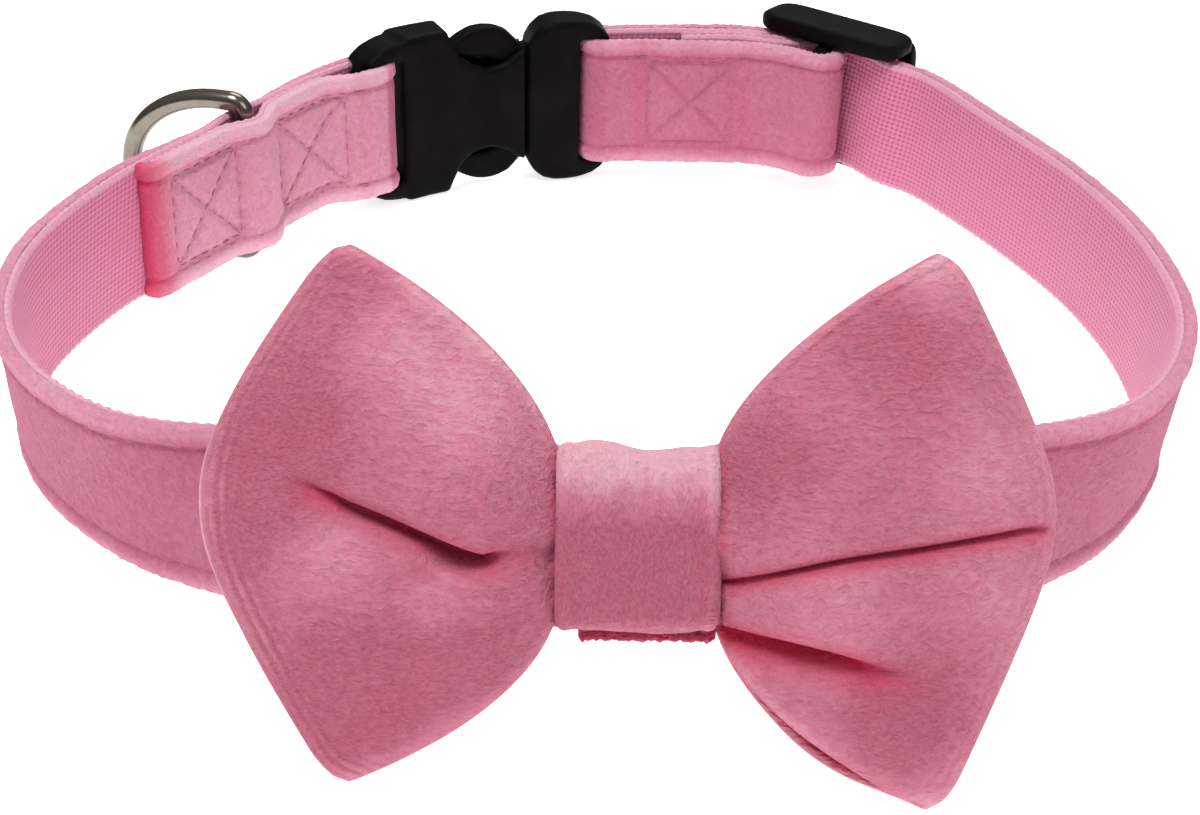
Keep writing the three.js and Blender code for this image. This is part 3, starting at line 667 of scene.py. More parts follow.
def make_velvet_cover(strap):
    """Velvet cover: a thin profile with a folded hem at each edge, drawn in along seams, on the strip's path.

    The hems roll over the webbing's selvedges, and at the flap's end a quarter circle turns the velvet over
    the cut end of the webbing. Thickness is added over the hems and taken away along seams and layer ends
    below. Near the ring the cover is a little narrower and thinner, so that the ring swings clear of it.
    """
    path = strap_path(0.7)
    end = path[0]
    curl = np.radians(np.linspace(105, 8, 9))
    curled = (end[0] - 1.1 + CURL_RADIUS * np.sin(curl), end[1] + CURL_RADIUS * (1 - np.cos(curl)), -1.0)
    rolled = np.stack(np.broadcast_arrays(*curled), axis=1)
    path = np.concatenate([rolled, path[2:]])
    run, toward = strip_frame(path)
    half = HALF_WIDTH
    hem, pitch = strap.hem * 1000, strap.stitch * 1000
    outer_w = np.linspace(-half, half, 61)
    inner_w = np.linspace(half - 0.6, -half + 0.6, 13)
    arc = np.radians([60, 30, 0, -30, -60, -90])
    edge_w, edge_d = half + 0.35 * np.cos(arc), np.sin(arc)
    width = np.concatenate([outer_w, edge_w, inner_w, -edge_w[::-1]])
    front = np.concatenate([np.ones_like(outer_w), edge_d, np.zeros_like(inner_w), edge_d[::-1]])
    kind = np.repeat([0, 1, 2, 1], [len(outer_w), len(arc), len(inner_w), len(arc)])
    width = np.broadcast_to(width, (len(path), len(width)))
    from_edge = np.clip(half - np.abs(width), 0, None)
    fullness = 1.30 + 0.40 * hill(from_edge - 1.3, 1.5) - 0.45 * hill(from_edge - hem, 0.6)
    fullness = fullness + 0.12 * ripples(run[:, None], width * 0.6, 9.0) * ease(from_edge / 2)
    puckers = 0.08 * np.sin(2 * np.pi * run / pitch)[:, None] * hill(from_edge - hem, 1.3)
    seams = seam_depth(path, width)
    steps = np.zeros(width.shape)
    for layer, at in LAYER_ENDS:
        steps += hill(path[:, 0] - at, 1.5)[:, None] * (np.abs(path[:, 2] - layer) < 0.1)[:, None]
    rolled_end = (np.clip(1 - run / 6.5, 0, 1) ** 1.2)[:, None]
    last = ease((run[-1] - run) / 1.4)[:, None]
    turned = np.convolve(np.abs(path[:, 2] - 1.5) < 0.1, np.ones(5) / 5, "same")[:, None]
    top = (fullness + puckers - 0.6 * seams - 0.28 * steps) * (0.35 + 0.65 * last)
    top = top + 0.55 * turned
    rim = np.where(front > 0, 0.75 * top * front + 0.25 * top, 0.25 * top + 0.85 * front)
    depth = np.where(kind == 0, top, np.where(kind == 1, rim, 0.05))
    fringe = 0.06 * ripples(run[:, None], width * 2, 6.0) + 0.10 * ripples(run[:, None], width * 3, 1.5, 1.0)
    width = width + np.sign(width) * ease(1.4 - from_edge) * fringe * (kind < 2)
    depth = depth + 0.8 * fringe * ease(1 - from_edge / 3.2) * (front > 0) * (kind < 2)
    on_flap = path[:, 2] < 0.5
    at_ring = (bump(path[:, 0] - RING_AT, RING_CLEAR) * np.where(on_flap, 0.3, 1.0))[:, None]
    width = width * (1 - 0.085 * at_ring)
    depth = depth * (1 - 0.24 * at_ring)
    points = on_strip(path, toward, depth, gathered(path[:, None, 0], width))
    # Painted crimson shade along the seams, over the steps at layer ends and on the rolled flap end, with the
    # hem seams' needle holes
    holes_and_shade = 0.25 * hill(from_edge - hem, 0.4) + 0.15 * seams + 0.14 * steps + 1.0 * rolled_end
    fold = np.clip(holes_and_shade, 0, 1) * (kind < 2)
    brushed = np.where(path[:, 2] < 0.3, 0.75, np.where(path[:, 2] > 1.6, 0.15, 0.0))[:, None]
    # Painted highlight: paler along both edges; also paler on the flap and a little on the inner layer and
    # the returned end
    nap_and_light = 0.7 * hill(from_edge - 0.4, 1.6) + brushed * (kind < 2)
    piece = new_piece("velvet_strip", points, tube(points), strap_velvet(strap), uv=strip_map(run, width),
                      marks={"fold": fold, "nap_and_light": nap_and_light})
    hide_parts("velvet_cover")


def make_stitching(strap):
    """Thread of all seams: each stitch is a short capsule of six sides on the velvet, sunk at its ends.

    The hem seams run along the whole strip at the hem's width from each edge, the boxes on their own lines.
    """
    path = strap_path(0.4)
    run, toward = strip_frame(path)
    pitch = strap.stitch * 1000
    hem_at = HALF_WIDTH - strap.hem * 1000
    centres = []
    for side in (-1, 1):
        s = np.arange(2.5, run[-1] - 2.5, pitch)
        centres.append(np.stack(np.broadcast_arrays(s, side * hem_at, pitch * 0.36, 0.0, 0.86), axis=1))
    for layer, a, ha, b, hb in sewn_lines():
        on = np.flatnonzero(np.abs(path[:, 2] - layer) < 0.1)
        order = on[np.argsort(path[on, 0])]
        s0, s1 = np.interp([a, b], path[order, 0], run[order])
        length = math.hypot(s1 - s0, hb - ha)
        count = max(int(length / SEAM_STITCH), 1)
        t = (np.arange(count) + 0.5) / count
        k = SEAM_STITCH_HALF / length
        row = (s0 + (s1 - s0) * t, ha + (hb - ha) * t, (s1 - s0) * k, (hb - ha) * k, 0.72)
        centres.append(np.stack(np.broadcast_arrays(*row), axis=1))
    rows = np.concatenate(centres)
    t = np.array([-1.0, -0.75, 0.0, 0.75, 1.0])
    size = np.array([0.12, 0.8, 1.0, 0.8, 0.12])
    angle = np.linspace(0, 2 * np.pi, 7)[:-1]
    s = rows[:, 0, None] + rows[:, 2, None] * t
    w = rows[:, 1, None] + rows[:, 3, None] * t
    out = rows[:, 4, None] + 0.16 - 0.34 * t * t
    heading = rows[:, 2:4] / np.linalg.norm(rows[:, 2:4], axis=1, keepdims=True)
    ring_w = THREAD_RADIUS * size[None, :, None] * np.cos(angle)
    ring_q = THREAD_RADIUS * size[None, :, None] * np.sin(angle)
    s3 = s[:, :, None] - ring_w * heading[:, None, 1:2]
    w3 = w[:, :, None] + ring_w * heading[:, None, 0:1]
    q3 = out[:, :, None] + ring_q
    along = np.interp(s3, run, path[:, 0])
    level = np.interp(s3, run, path[:, 1])
    tx, ty = np.interp(s3, run, toward[:, 0]), np.interp(s3, run, toward[:, 1])
    points = place(along - q3 * ty, level + q3 * tx, gathered(along, w3))
    one = grid_faces(5, 6, False, True) + [[5, 4, 3, 2, 1, 0], [24, 25, 26, 27, 28, 29]]
    one = outwards(points[0], one)
    faces = []
    for k in range(len(rows)):
        faces.extend([[v + 30 * k for v in face] for face in one])
    piece = new_piece("stitching", points, faces, thread("sewing_thread", strap.thread_colour))


# The bow

# Outline of the wings: reach at the middle, at the upper and at the lower tip, the height that reaches
# furthest, bluntness, and heights of the tips
WING = {
    -1: (53.6, 38.2, 36.8, 0.14, 0.42, 36.6, 30.8),
    1: (52.2, 39.8, 37.8, 0.10, 0.25, 36.4, 33.6),
}
# Depth and half height of the cloth under the knot, the share of the rows spent there, and the back's bulge
ROOT_DEPTH, ROOT_HEIGHT, ROOT_SHARE, BACK_BULGE = 4.3, 8.0, 0.2, 7.2

# Folds of the front: wing, slope below, width of the wall, overhang, lift, rows of (x, height, depth)
FOLDS = [
    (-1, 2.5, 0.75, 1.7, 1.9, [
        (6, -2.3, 0.2), (12, -2.3, 0.3), (17, -2.15, 0.9), (19.5, -1.9, 3.8), (22, -1.0, 5.0), (26, 0.7, 5.0),
        (30, 2.4, 4.2), (34, 4.0, 2.8), (38, 5.2, 1.4), (43, 6.2, 0.0)]),
    (1, 1.2, 0.75, 1.2, 1.2, [
        (6, -5.3, 1.5), (11, -5.2, 1.9), (17, -4.1, 2.2), (24, -2.6, 2.2), (30, -1.6, 2.2), (36, -0.7, 2.1),
        (43, 0.6, 2.0), (48.6, 1.7, 1.7), (52, 1.0, 0.8)]),
    (1, 3.2, 0.95, 1.4, 1.5, [
        (6, -9.0, 1.4), (9, -9.9, 2.6), (11, -10.6, 3.6), (19, -12.4, 4.4), (25, -13.8, 2.8),
        (31, -16.2, 0.8), (36, -17.5, 0.0)]),
]

# Soft dents and swellings of the front: wing, x and height from, x and height to, width, depth to the front
DENTS = [
    (-1, 21.0, -2.6, 34.0, 2.4, 3.2, -1.0), (-1, 19.5, -2.4, 29.0, -6.2, 2.2, -1.7),
    (-1, 12.0, -9.0, 24.0, -15.0, 4.2, 1.3), (-1, 29.0, -3.5, 42.0, -4.5, 4.5, 1.9),
    (-1, 14.0, 6.5, 34.0, 17.0, 7.0, 1.9), (-1, 37.0, 12.0, 48.0, 9.0, 4.0, -0.9),
    (-1, 18.0, 17.5, 33.0, 30.0, 2.6, -0.6), (-1, 26.0, -18.0, 36.0, -27.0, 5.0, -0.7),
    (1, 14.0, 7.0, 36.0, 16.0, 8.0, 1.9), (1, 20.0, -8.2, 40.0, -7.0, 4.2, 1.6),
    (1, 16.0, -20.0, 30.0, -24.0, 4.2, 1.1), (1, 33.0, 24.0, 35.0, 8.0, 4.0, -0.6),
    (1, 34.0, -18.0, 40.0, -12.0, 5.0, -0.8),
]

# Patches of brushed nap and of painted light and shade, pale where the lobes face up and deep where they face
# down: wing, x, height, radius, paler or deeper
NAP_AND_LIGHT_PATCHES = [
    (-1, 20, 17, 9, 0.45), (-1, 30, 24, 7, 0.35), (-1, 43, 13, 8, -0.55), (-1, 36, 30, 6, -0.25),
    (-1, 36, -3, 6, 0.5), (-1, 24, -8, 5, 0.35), (-1, 18, -14, 5, -0.4), (-1, 37, -20, 9, -0.55),
    (-1, 48, -2, 5, -0.3), (-1, 26, -17, 6, -0.3), (-1, 43, 4, 5, -0.4),
    (1, 15, 9, 6, -0.4), (1, 24, 15, 9, 0.15), (1, 32, 24, 8, -0.45), (1, 42, 8, 8, 0.35),
    (1, 37, 32, 5, 0.5), (1, 22, -8, 7, 0.2), (1, 44, -8, 7, 0.3), (1, 32, -22, 7, -0.55),
    (1, 26, -17, 6, 0.1), (1, 38, -30, 5, 0.3),
]


def wing_grid(side, front, u, v, bow):
    """Points of one sheet of one wing, as (x, depth to the front, height, painted shade of folds and hollows,
    brushed nap with painted light).

    u runs from the bow's middle to the wing's outer fold and v from its lower edge to its upper one. Reach
    and height follow the wing's outline, and the depth is a crown that closes at the outer fold. The front
    sheet goes on to the dents and folds.
    """
    middle, high_tip, low_tip, widest, blunt, upper, lower = WING[side]
    tip = np.where(v > widest, high_tip, low_tip)
    off = (v - widest) / (1 - np.sign(v - widest) * widest)
    slant = (np.sqrt(off ** 2 + blunt ** 2) - blunt) / (math.sqrt(1 + blunt ** 2) - blunt)
    corner = 1.5 * np.clip((np.abs(v) - 0.86) / 0.14, 0, 1) ** 2
    reach = middle - (middle - tip) * slant - corner
    half_knot = KNOT_WIDTH / 2
    wing = np.maximum(u - ROOT_SHARE, 0) / (1 - ROOT_SHARE)
    x = half_knot * np.minimum(u / ROOT_SHARE, 1) + wing * (reach - half_knot)
    tip = np.where(v > 0, high_tip, low_tip)
    widens_from, soft = 9.3, 0.004
    t = np.clip((x - widens_from) / (tip - widens_from), 0, 1)
    bend = np.where(v > 0, 0.55, 0.46)
    spread = ((t + soft) ** bend - soft ** bend) / ((1 + soft) ** bend - soft ** bend)
    edge = np.where(v > 0, upper, lower)
    half_height = ROOT_HEIGHT + (edge - ROOT_HEIGHT) * spread
    height = v * half_height
    opened = ease((x - 6.5) / 12.5)
    crown = bow.puff * 1000 if front > 0 else BACK_BULGE
    near_fold = np.clip(1 - u ** 2.6, 0, 1) ** 0.42
    depth = (ROOT_DEPTH + (crown - ROOT_DEPTH) * opened) * (1 - 0.40 * v * v - 0.14 * v ** 6) * near_fold
    gathers = 0.75 * np.cos(7.4 * v + 0.6 * side) + 0.35 * np.cos(15.1 * v + 1.2 + side)
    gathers = gathers * (1 - ease((x - 5) / 15))
    waves = 0.5 * ripples(x + 60 * side, height, 27.0, 0.4) + 0.14 * ripples(x, height + 9 * side, 8.0, 1.3)
    waves = waves * ease((x - 9) / 14) * near_fold
    # Painted crimson shade along the line where the wing meets the knot
    mark = 0.5 * hill(x - 9.5, 0.9)
    # Painted highlight, paler along the seams at the edges and along the outer fold
    nap_and_light = 0.5 * hill((1 - np.abs(v)) * half_height, 1.6) + 0.25 * hill((1 - u) * reach, 2.0)
    if front < 0:
        depth = depth + 0.5 * gathers + 0.8 * waves
        # Painted highlight along the back sheet's outer fold
        nap_and_light = nap_and_light + 1.3 * hill((1 - u) * reach, 1.6)
        x = x + 1.3 * bump(v - 0.03, 0.55) * hill(u - 0.97, 0.03) * (1 if side < 0 else 0.55)
        if side > 0:
            height = height - 1.3 * bump(x - 23, 13) * ease((-v - 0.5) / 0.4)
        return x, depth, height, mark, nap_and_light
    depth = depth + 0.8 * gathers + waves
    from_seam, from_fold = (1 - np.abs(v)) * half_height, (1 - u) * reach
    return folded_front(side, v, (x, depth, height, mark, nap_and_light), near_fold, from_seam, from_fold, bow)


def folded_front(side, v, sheet, near_fold, from_seam, from_fold, bow):
    """The front sheet of a wing with its dents, patches of brushed nap and painted light, seams and folds.

    Each fold adds a valley with a steep wall above its line and a slope below it, and pushes the cloth
    above it down over the valley. All of it fades out towards the wing's outer fold.
    """
    x, depth, height, mark, nap_and_light = sheet
    for dent_side, x0, z0, x1, z1, width, deep in DENTS:
        if dent_side == side:
            away = near_line(x, height, x0, z0, x1, z1)
            depth = depth + deep * bow.crease * hill(away, width) * ease(near_fold / 0.7)
            # Painted crimson shade in the deeper dents
            mark = np.maximum(mark, -0.10 * min(deep, 0) * hill(away, width * 0.6))
    # Patches of brushed nap and painted light and shade
    for nap_side, x0, z0, radius, more in NAP_AND_LIGHT_PATCHES:
        if nap_side == side:
            nap_and_light = nap_and_light + 1.35 * more * hill(np.hypot(x - x0, height - z0), radius)
    lines = np.cos(2 * np.pi * from_fold / 1.5) * hill(from_fold - 2.8, 1.9) * (1 - 0.6 * np.clip(v, 0, 1))
    depth = depth + (0.19 if side < 0 else 0.05) * lines
    # Painted highlight on the ridges of the fine lines, painted shade in their grooves
    nap_and_light = nap_and_light + (0.35 if side < 0 else 0.1) * lines
    seam = hill(from_seam - 1.5, 0.5) * ease((x - 12) / 6)
    seam = seam * (np.where(v > 0, 1.0, 0.5) if side > 0 else 0.3)
    depth = depth - 0.45 * seam
    # Painted crimson shade in the seam's groove
    mark = np.maximum(mark, 0.12 * seam)
    flat = height.copy()
    for fold_side, slope, wall, over, lift, rows in FOLDS:
        if fold_side != side:
            continue
        table = np.array(rows)
        line = on_rows(table[:, :2], x)
        deep = on_rows(table[:, [0, 2]], x) * bow.crease * ease(near_fold / 0.55)
        s = flat - line
        above = np.maximum(s, 0)
        depth = depth - deep * hill(s, np.where(s < 0, slope, wall))
        depth = depth + lift * np.minimum(deep / 3, 1) * (above / 4.2) * np.exp(1 - above / 4.2)
        height = height - over * np.minimum(deep / 2.6, 1) * hill(s - 1.1, 1.05)
        # Painted crimson shade in each fold's valley and on its wall
        shade = hill(s, np.where(s < 0, 0.85 * slope + 0.6, wall + 0.2))
        mark = np.maximum(mark, np.minimum(deep / 2.2, 1) * shade)
    return x, depth, height, mark, nap_and_light


def make_bow(strap, bow):
    """Bow: one hollow band of cloth round both wings, from the sheets of the wings and the cloth's thickness.

    The outer surface is the sheet itself, and the inner one is the same sheet with softer folds, set back
    by the thickness. Half round edges join them at the wings' open ends.
    """
    across = 196
    out_to_fold = 1 - (1 - np.linspace(0, 1, 70)) ** 1.6
    root = np.linspace(0, ROOT_SHARE, 9)[:-1]
    station = np.concatenate([root, ROOT_SHARE + (1 - ROOT_SHARE) * out_to_fold])
    v_line = np.linspace(-1, 1, across + 1)
    outer, marks, naps = [], [], []
    for side, front, down in [(1, 1, True), (-1, 1, False), (-1, -1, True), (1, -1, False)]:
        u = station[::-1][:-1] if down else station[:-1]
        uu, vv = np.meshgrid(u, v_line, indexing="ij")
        x, d, z, mark, nap_and_light = wing_grid(side, front, uu, vv, bow)
        outer.append(np.stack([side * x, -front * d, z], axis=-1))
        marks.append(mark)
        naps.append(nap_and_light)
    outer = np.concatenate(outer)
    rows = len(outer)
    coarse = outer[:, ::4].copy()
    for _ in range(6):
        coarse = (np.roll(coarse, 1, axis=0) + np.roll(coarse, -1, axis=0) + 2 * coarse) / 4
        coarse[:, 1:-1] = (coarse[:, 2:] + coarse[:, :-2] + 2 * coarse[:, 1:-1]) / 4
    along = np.roll(coarse, -1, axis=0) - np.roll(coarse, 1, axis=0)
    cross = np.gradient(coarse, axis=1)
    normal = np.cross(along, cross)
    normal /= np.linalg.norm(normal, axis=-1, keepdims=True) + 1e-9
    for _ in range(8):
        normal = np.roll(normal, 1, axis=0) + np.roll(normal, -1, axis=0) + 2 * normal
        normal[:, 1:-1] = normal[:, 1:-1] + normal[:, 2:] + normal[:, :-2]
        normal /= np.linalg.norm(normal, axis=-1, keepdims=True) + 1e-9
    thick = bow.cloth * 1000
    normal = normal * np.sign((normal[rows // 8, across // 8] * [0, -1, 0]).sum())
    inner = coarse - normal * thick
    edge = cross / (np.linalg.norm(cross, axis=-1, keepdims=True) + 1e-9)

    def rim(j, sign):
        middle = (outer[:, j] + inner[:, j]) / 2
        radius = (outer[:, j] - inner[:, j]) / 2
        reach = edge[:, j] * sign * thick * 0.5
        return np.stack([middle + radius * math.cos(a) + reach * math.sin(a)
                         for a in np.radians([36, 72, 108, 144])], axis=1)

    profile = np.concatenate([outer, rim(-1, 1), inner[:, ::-1], rim(0, -1)[:, ::-1]], axis=1)
    # Painted crimson shade: a little on the rims, strongly on the inner sheet inside the wings
    fold = np.full(profile.shape[:2], 0.1)
    fold[:, :across + 1] = np.concatenate(marks)
    fold[:, across + 5:across + 5 + coarse.shape[1]] = 0.85
    nap_and_light = np.full(profile.shape[:2], 0.4)
    nap_and_light[:, :across + 1] = np.concatenate(naps)
    points = bow_space(profile)
    faces = outwards(points, grid_faces(rows, profile.shape[1], True, True))
    piece = new_piece("bow_wings", points, faces, bow_velvet(strap), marks={"fold": fold, "nap_and_light": nap_and_light})
    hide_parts("bow")


def band_points(width, half_depth, half_height, sheet, roundness, around, across, shape):
    """Closed band round the x axis: a superellipse of its half sizes, with round edges and an inner face.

    shape gives, at each angle and place on the width, how far the outer face is pushed out and how much
    painted crimson shade it gets. Both fade out through the thickness.
    """
    a = np.linspace(0, 2 * np.pi, around, endpoint=False)[:, None]
    arc = np.radians([60, 30, 0, -30, -60])
    r = sheet / 2
    flat = width / 2 - r
    x_in = np.linspace(flat, -flat, across // 3)
    x_out = np.linspace(-flat, flat, across)
    x = np.concatenate([x_out, flat + r * np.cos(arc), x_in, -flat - r * np.cos(arc)])[None, :]
    back = np.concatenate([np.zeros(across), r - r * np.sin(arc), np.full(len(x_in), sheet),
                           r + r * np.sin(arc)])
    depth, height = half_depth - back, half_height - back
    cos, sin = power(np.cos(a), roundness), power(np.sin(a), roundness)
    more, mark = shape(a, x, cos, sin)
    share = 1 - back[None, :] / sheet
    y = cos * (depth + more * share)
    z = sin * (height + more * share)
    x = np.broadcast_to(x, y.shape)
    return np.stack([x, y, z], axis=-1), np.broadcast_to(mark * share, y.shape)


def make_knot(strap):
    """Knot: a rounded oblong band with rolled edges, a saddle on top and soft cross folds."""
    def shape(a, x, cos, sin):
        top = np.where(sin > 0, 1, 0) * np.abs(sin) ** 3
        saddle = top * (0.75 * hill(x + 5.0, 4) - 0.65 * hill(x - 1.2, 4.4) - 0.8)
        crown = 0.35 * (1 - (x / 10) ** 2)
        waves = 0.20 * ripples(a * 10.5, x, 12.0, 0.8) + 0.05 * ripples(a * 10.5, x, 3.6, 2.0)
        rope = 0.16 * np.cos(2 * np.pi * (a * 10.5 + 1.6 * x) / 1.25) * hill(x - 9.2, 0.6)
        rolled = 0.16 * hill(np.abs(x) - 9.0, 0.8) - 0.12 * hill(np.abs(x) - 7.6, 0.8)
        # Painted crimson shade inside the right rolled edge
        mark = 0.10 * hill(np.abs(x) - 7.7, 0.6) * (x > 0) + 0 * a
        return saddle + crown - 0.4 + waves + rolled + rope, mark

    points, mark = band_points(KNOT_WIDTH, KNOT_DEPTH / 2, KNOT_HEIGHT / 2, KNOT_SHEET, 0.42, 300, 72, shape)
    faces = outwards(points, grid_faces(*points.shape[:2], True, True))
    x, height = points[..., 0], points[..., 2]
    # Painted light: paler towards the top, which faces up, deeper below the middle, with paler lines along
    # the lower edge and the right rolled edge
    nap_and_light = 1.3 * ease((height + 1.0 - 0.7 * ripples(x, height, 6.0)) / 10.5) - 0.55 * hill(height + 4, 8)
    nap_and_light = nap_and_light + 0.4 * hill(height + 11.2, 0.9) + 0.35 * hill(x - 9.0, 0.8) - 0.2 * hill(height + 9, 3)
    colours = strap.velvet_deep, strap.velvet_middle, strap.velvet_pale
    finish = velvet("knot_velvet", *colours, (1.25, 1.0, 0.6))
    piece = new_piece("knot_band", bow_space(points), faces, finish, marks={"fold": mark, "nap_and_light": nap_and_light})
    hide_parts("bow_knot")


def make_loop(strap):
    """Loop that holds the bow on the strap: a flat band round the strap with a ragged pile on its edges."""
    def shape(a, x, cos, sin):
        low = np.where(sin < 0, 1, 0) * np.abs(sin) ** 2
        ragged = 0.20 * ripples(x * 1.3, 3.0, 1.6, 0.5, 9) + 0.10 * ripples(x, a, 0.7, 1.1)
        rough = 0.10 * ripples(a * 12, x, 2.2, 0.3) + 0.07 * ripples(a * 12, x * 1.5, 1.1, 1.9) + low * ragged
        # Painted crimson shade over the whole loop, which lies in shade under the knot
        return rough, 0.35 + 0 * a * x

    high, low = HALF_WIDTH - GATHER + 1.3, HALF_WIDTH + 0.3 + 1.5
    half_depth, half_height = (LOOP_OUT + LOOP_IN) / 2, (high + low) / 2
    points, mark = band_points(LOOP_WIDTH, half_depth, half_height, LOOP_SHEET, 0.2, 320, 100, shape)
    points = points + [LOOP_RIGHT, (LOOP_IN - LOOP_OUT) / 2, (high - low) / 2]
    faces = outwards(points, grid_faces(*points.shape[:2], True, True))
    # Painted shade: the loop's velvet is a darker copy, each colour one step deeper than the strap's
    shaded_deepest = [c * 0.8 for c in strap.velvet_deep]
    finish = velvet("loop_velvet_in_shade", shaded_deepest, strap.velvet_deep, strap.velvet_middle)
    piece = new_piece("holding_loop", leaning(points, STRAP_LEAN), faces, finish, marks={"fold": mark})
    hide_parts("bow_loop")


# Hard pieces

def moulded_copy(name, node_name, grain, rounds, finish):
    """Moulded form of a CAD node: its merged copy is remeshed in small even cells and its edges are rounded.

    The rounding is a Laplacian smoothing, each point moved half way to the mean of its neighbours.
    """
    mesh = NODES[node_name].data.copy()
    mesh.name = name
    piece = bpy.data.objects.new(name, mesh)
    bpy.context.scene.collection.objects.link(piece)
    work = bmesh.new()
    work.from_mesh(mesh)
    bmesh.ops.remove_doubles(work, verts=work.verts, dist=1e-6)
    work.to_mesh(mesh)
    work.free()
    cells = piece.modifiers.new("cells", "REMESH")
    cells.mode = "VOXEL"
    cells.voxel_size = grain
    rounding = piece.modifiers.new("rounding", "SMOOTH")
    rounding.factor = 0.5
    rounding.iterations = rounds
    made = bpy.data.meshes.new_from_object(piece.evaluated_get(bpy.context.evaluated_depsgraph_get()))
    piece.modifiers.clear()
    piece.data = made
    made.name = name
    made.materials.clear()
    made.materials.append(finish)
    made.polygons.foreach_set("use_smooth", np.full(len(made.polygons), True))
    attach(piece, "collar")
    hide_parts(node_name)


def slider_bar(ends, out, up, bend=None, corner=0.5):
    """Closed bar between two ends: superellipse sections that fall off at both ends as a superellipse too.

    The three results are the places along the bar and across it in its two other directions.
    """
    t = np.sin(np.linspace(-np.pi / 2, np.pi / 2, 57)) * 0.9995
    size = (1 - np.abs(t) ** 9) ** 0.4
    a = np.linspace(0, 2 * np.pi, 44, endpoint=False)
    middle, half = (ends[0] + ends[1]) / 2, (ends[1] - ends[0]) / 2
    first = np.broadcast_to((middle + half * t)[:, None], (len(t), len(a)))
    second = (out[0] + out[1]) / 2 + (out[1] - out[0]) / 2 * size[:, None] * power(np.cos(a), corner)
    third = (up[0] + up[1]) / 2 + (up[1] - up[0]) / 2 * size[:, None] * power(np.sin(a), corner)
    if bend is not None:
        second = second + bend(t)[:, None]
    return first, second, third


def make_slider(hardware):
    """Slider: an upper and a lower side bar, two outer rails and the middle bar that the strip turns round.

    All five are straight bars in the tangent frame of the strap at the slider. The lower bar is the thinner
    one, and the middle bar bends outwards at its ends to meet the side bars.
    """
    origin = place(SLIDER_AT, 0, 0)
    ahead = place(SLIDER_AT + 1, 0, 0) - place(SLIDER_AT - 1, 0, 0)
    ahead /= np.linalg.norm(ahead)
    outward = place(SLIDER_AT, 1, 0) - origin

    def held(x, out, up):
        return origin + x[..., None] * ahead + out[..., None] * outward + up[..., None] * np.array([0, 0, 1])

    def to_side_bars(t):
        return (3.4 + 3.0 * (t < 0)) * ease((np.abs(t) - 0.84) / 0.12)

    top, low = HALF_WIDTH + 0.45, -HALF_WIDTH - 0.45
    ends = (-SLIDER_HALF, SLIDER_HALF)
    parts = [held(*slider_bar(ends, (-6.6, SLIDER_FACE), (top, SLIDER_TOP), corner=0.45)),
             held(*slider_bar(ends, (1.7, SLIDER_FACE), (low - 1.2, low), corner=0.45))]
    for x in (-RAIL_AT, RAIL_AT):
        up, out, along = slider_bar((low - 1.1, top + 2.4), (0.9, SLIDER_FACE), (x - 1.8, x + 1.8))
        parts.append(held(along, out, up))
    up, out, along = slider_bar((low - 1.5, top + 1.5), (-7.9, -4.6), (-1.7, 1.7), to_side_bars)
    parts.append(held(along, out, up))
    points, faces = joined([(p, tube(p)) for p in parts])
    piece = new_piece("strap_slider", points, faces, plastic(hardware))
    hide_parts("slider")


def make_ring(hardware):
    """D-ring: a round wire on a closed line of a straight bar, two small corner arcs and a half ellipse."""
    h, corner, arm, depth = HALF_WIDTH + 0.4 + RING_WIRE / 2, 2.4, 5.0, 23.0
    low = np.radians(np.linspace(270, 180, 12))
    high = np.radians(np.linspace(180, 90, 12))
    bar = np.stack([np.zeros(12), np.linspace(-h + corner, h - corner, 14)[1:-1]], axis=1)
    bend = np.radians(np.linspace(90, -90, 72))
    line = np.concatenate([
        np.stack([corner + corner * np.cos(low), -h + corner + corner * np.sin(low)], axis=1), bar,
        np.stack([corner + corner * np.cos(high), h - corner + corner * np.sin(high)], axis=1),
        np.stack([arm + (depth - arm) * np.cos(bend), h * np.sin(bend)], axis=1)])
    ahead = np.roll(line, -1, axis=0) - np.roll(line, 1, axis=0)
    ahead /= np.linalg.norm(ahead, axis=1, keepdims=True)
    a = np.linspace(0, 2 * np.pi, 24, endpoint=False)
    r = RING_WIRE / 2
    x = line[:, None, 0] + r * np.cos(a) * ahead[:, None, 1]
    z = line[:, None, 1] - r * np.cos(a) * ahead[:, None, 0]
    y = np.broadcast_to(r * np.sin(a), x.shape)
    outward = place(RING_AT, 10, 0) - place(RING_AT, 0, 0)
    turn = math.atan2(outward[1], outward[0]) + math.radians(15)
    c, s = math.cos(turn), math.sin(turn)
    points = np.stack([x * c - y * s, x * s + y * c, z], axis=-1) + JOINT
    faces = outwards(points, grid_faces(len(line), 24, True, True))
    piece = new_piece("ring_wire", points, faces, nickel("nickel_wire", hardware.steel_colour), body="ring")
    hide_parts("d_ring")


# Stage

# Camera fitted to the photo: degrees down, to the right and rolled, and its place before the origin is moved
CAMERA_TURNS = (31.65, 1.40, 1.47)
CAMERA_SPOT = (-4.5, -260.5, 164.1)
# Lights: name, place in metres, width in metres, watts
LIGHTS = [
    ("key", (-0.25, -0.30, 1.1), 0.5, 10.0),
    ("fill", (0.7, -0.6, 0.7), 0.7, 2.4),
    ("back", (0.1, 0.7, 0.9), 0.7, 4.0),
]


def stand(held, right, up, ahead, spot):
    """Put a light or camera at a spot, looking ahead, and link it to the scene."""
    rows = [(right[k], up[k], -ahead[k], spot[k]) for k in range(3)]
    held.matrix_world = Matrix((*rows, (0, 0, 0, 1)))
    bpy.context.scene.collection.objects.link(held)


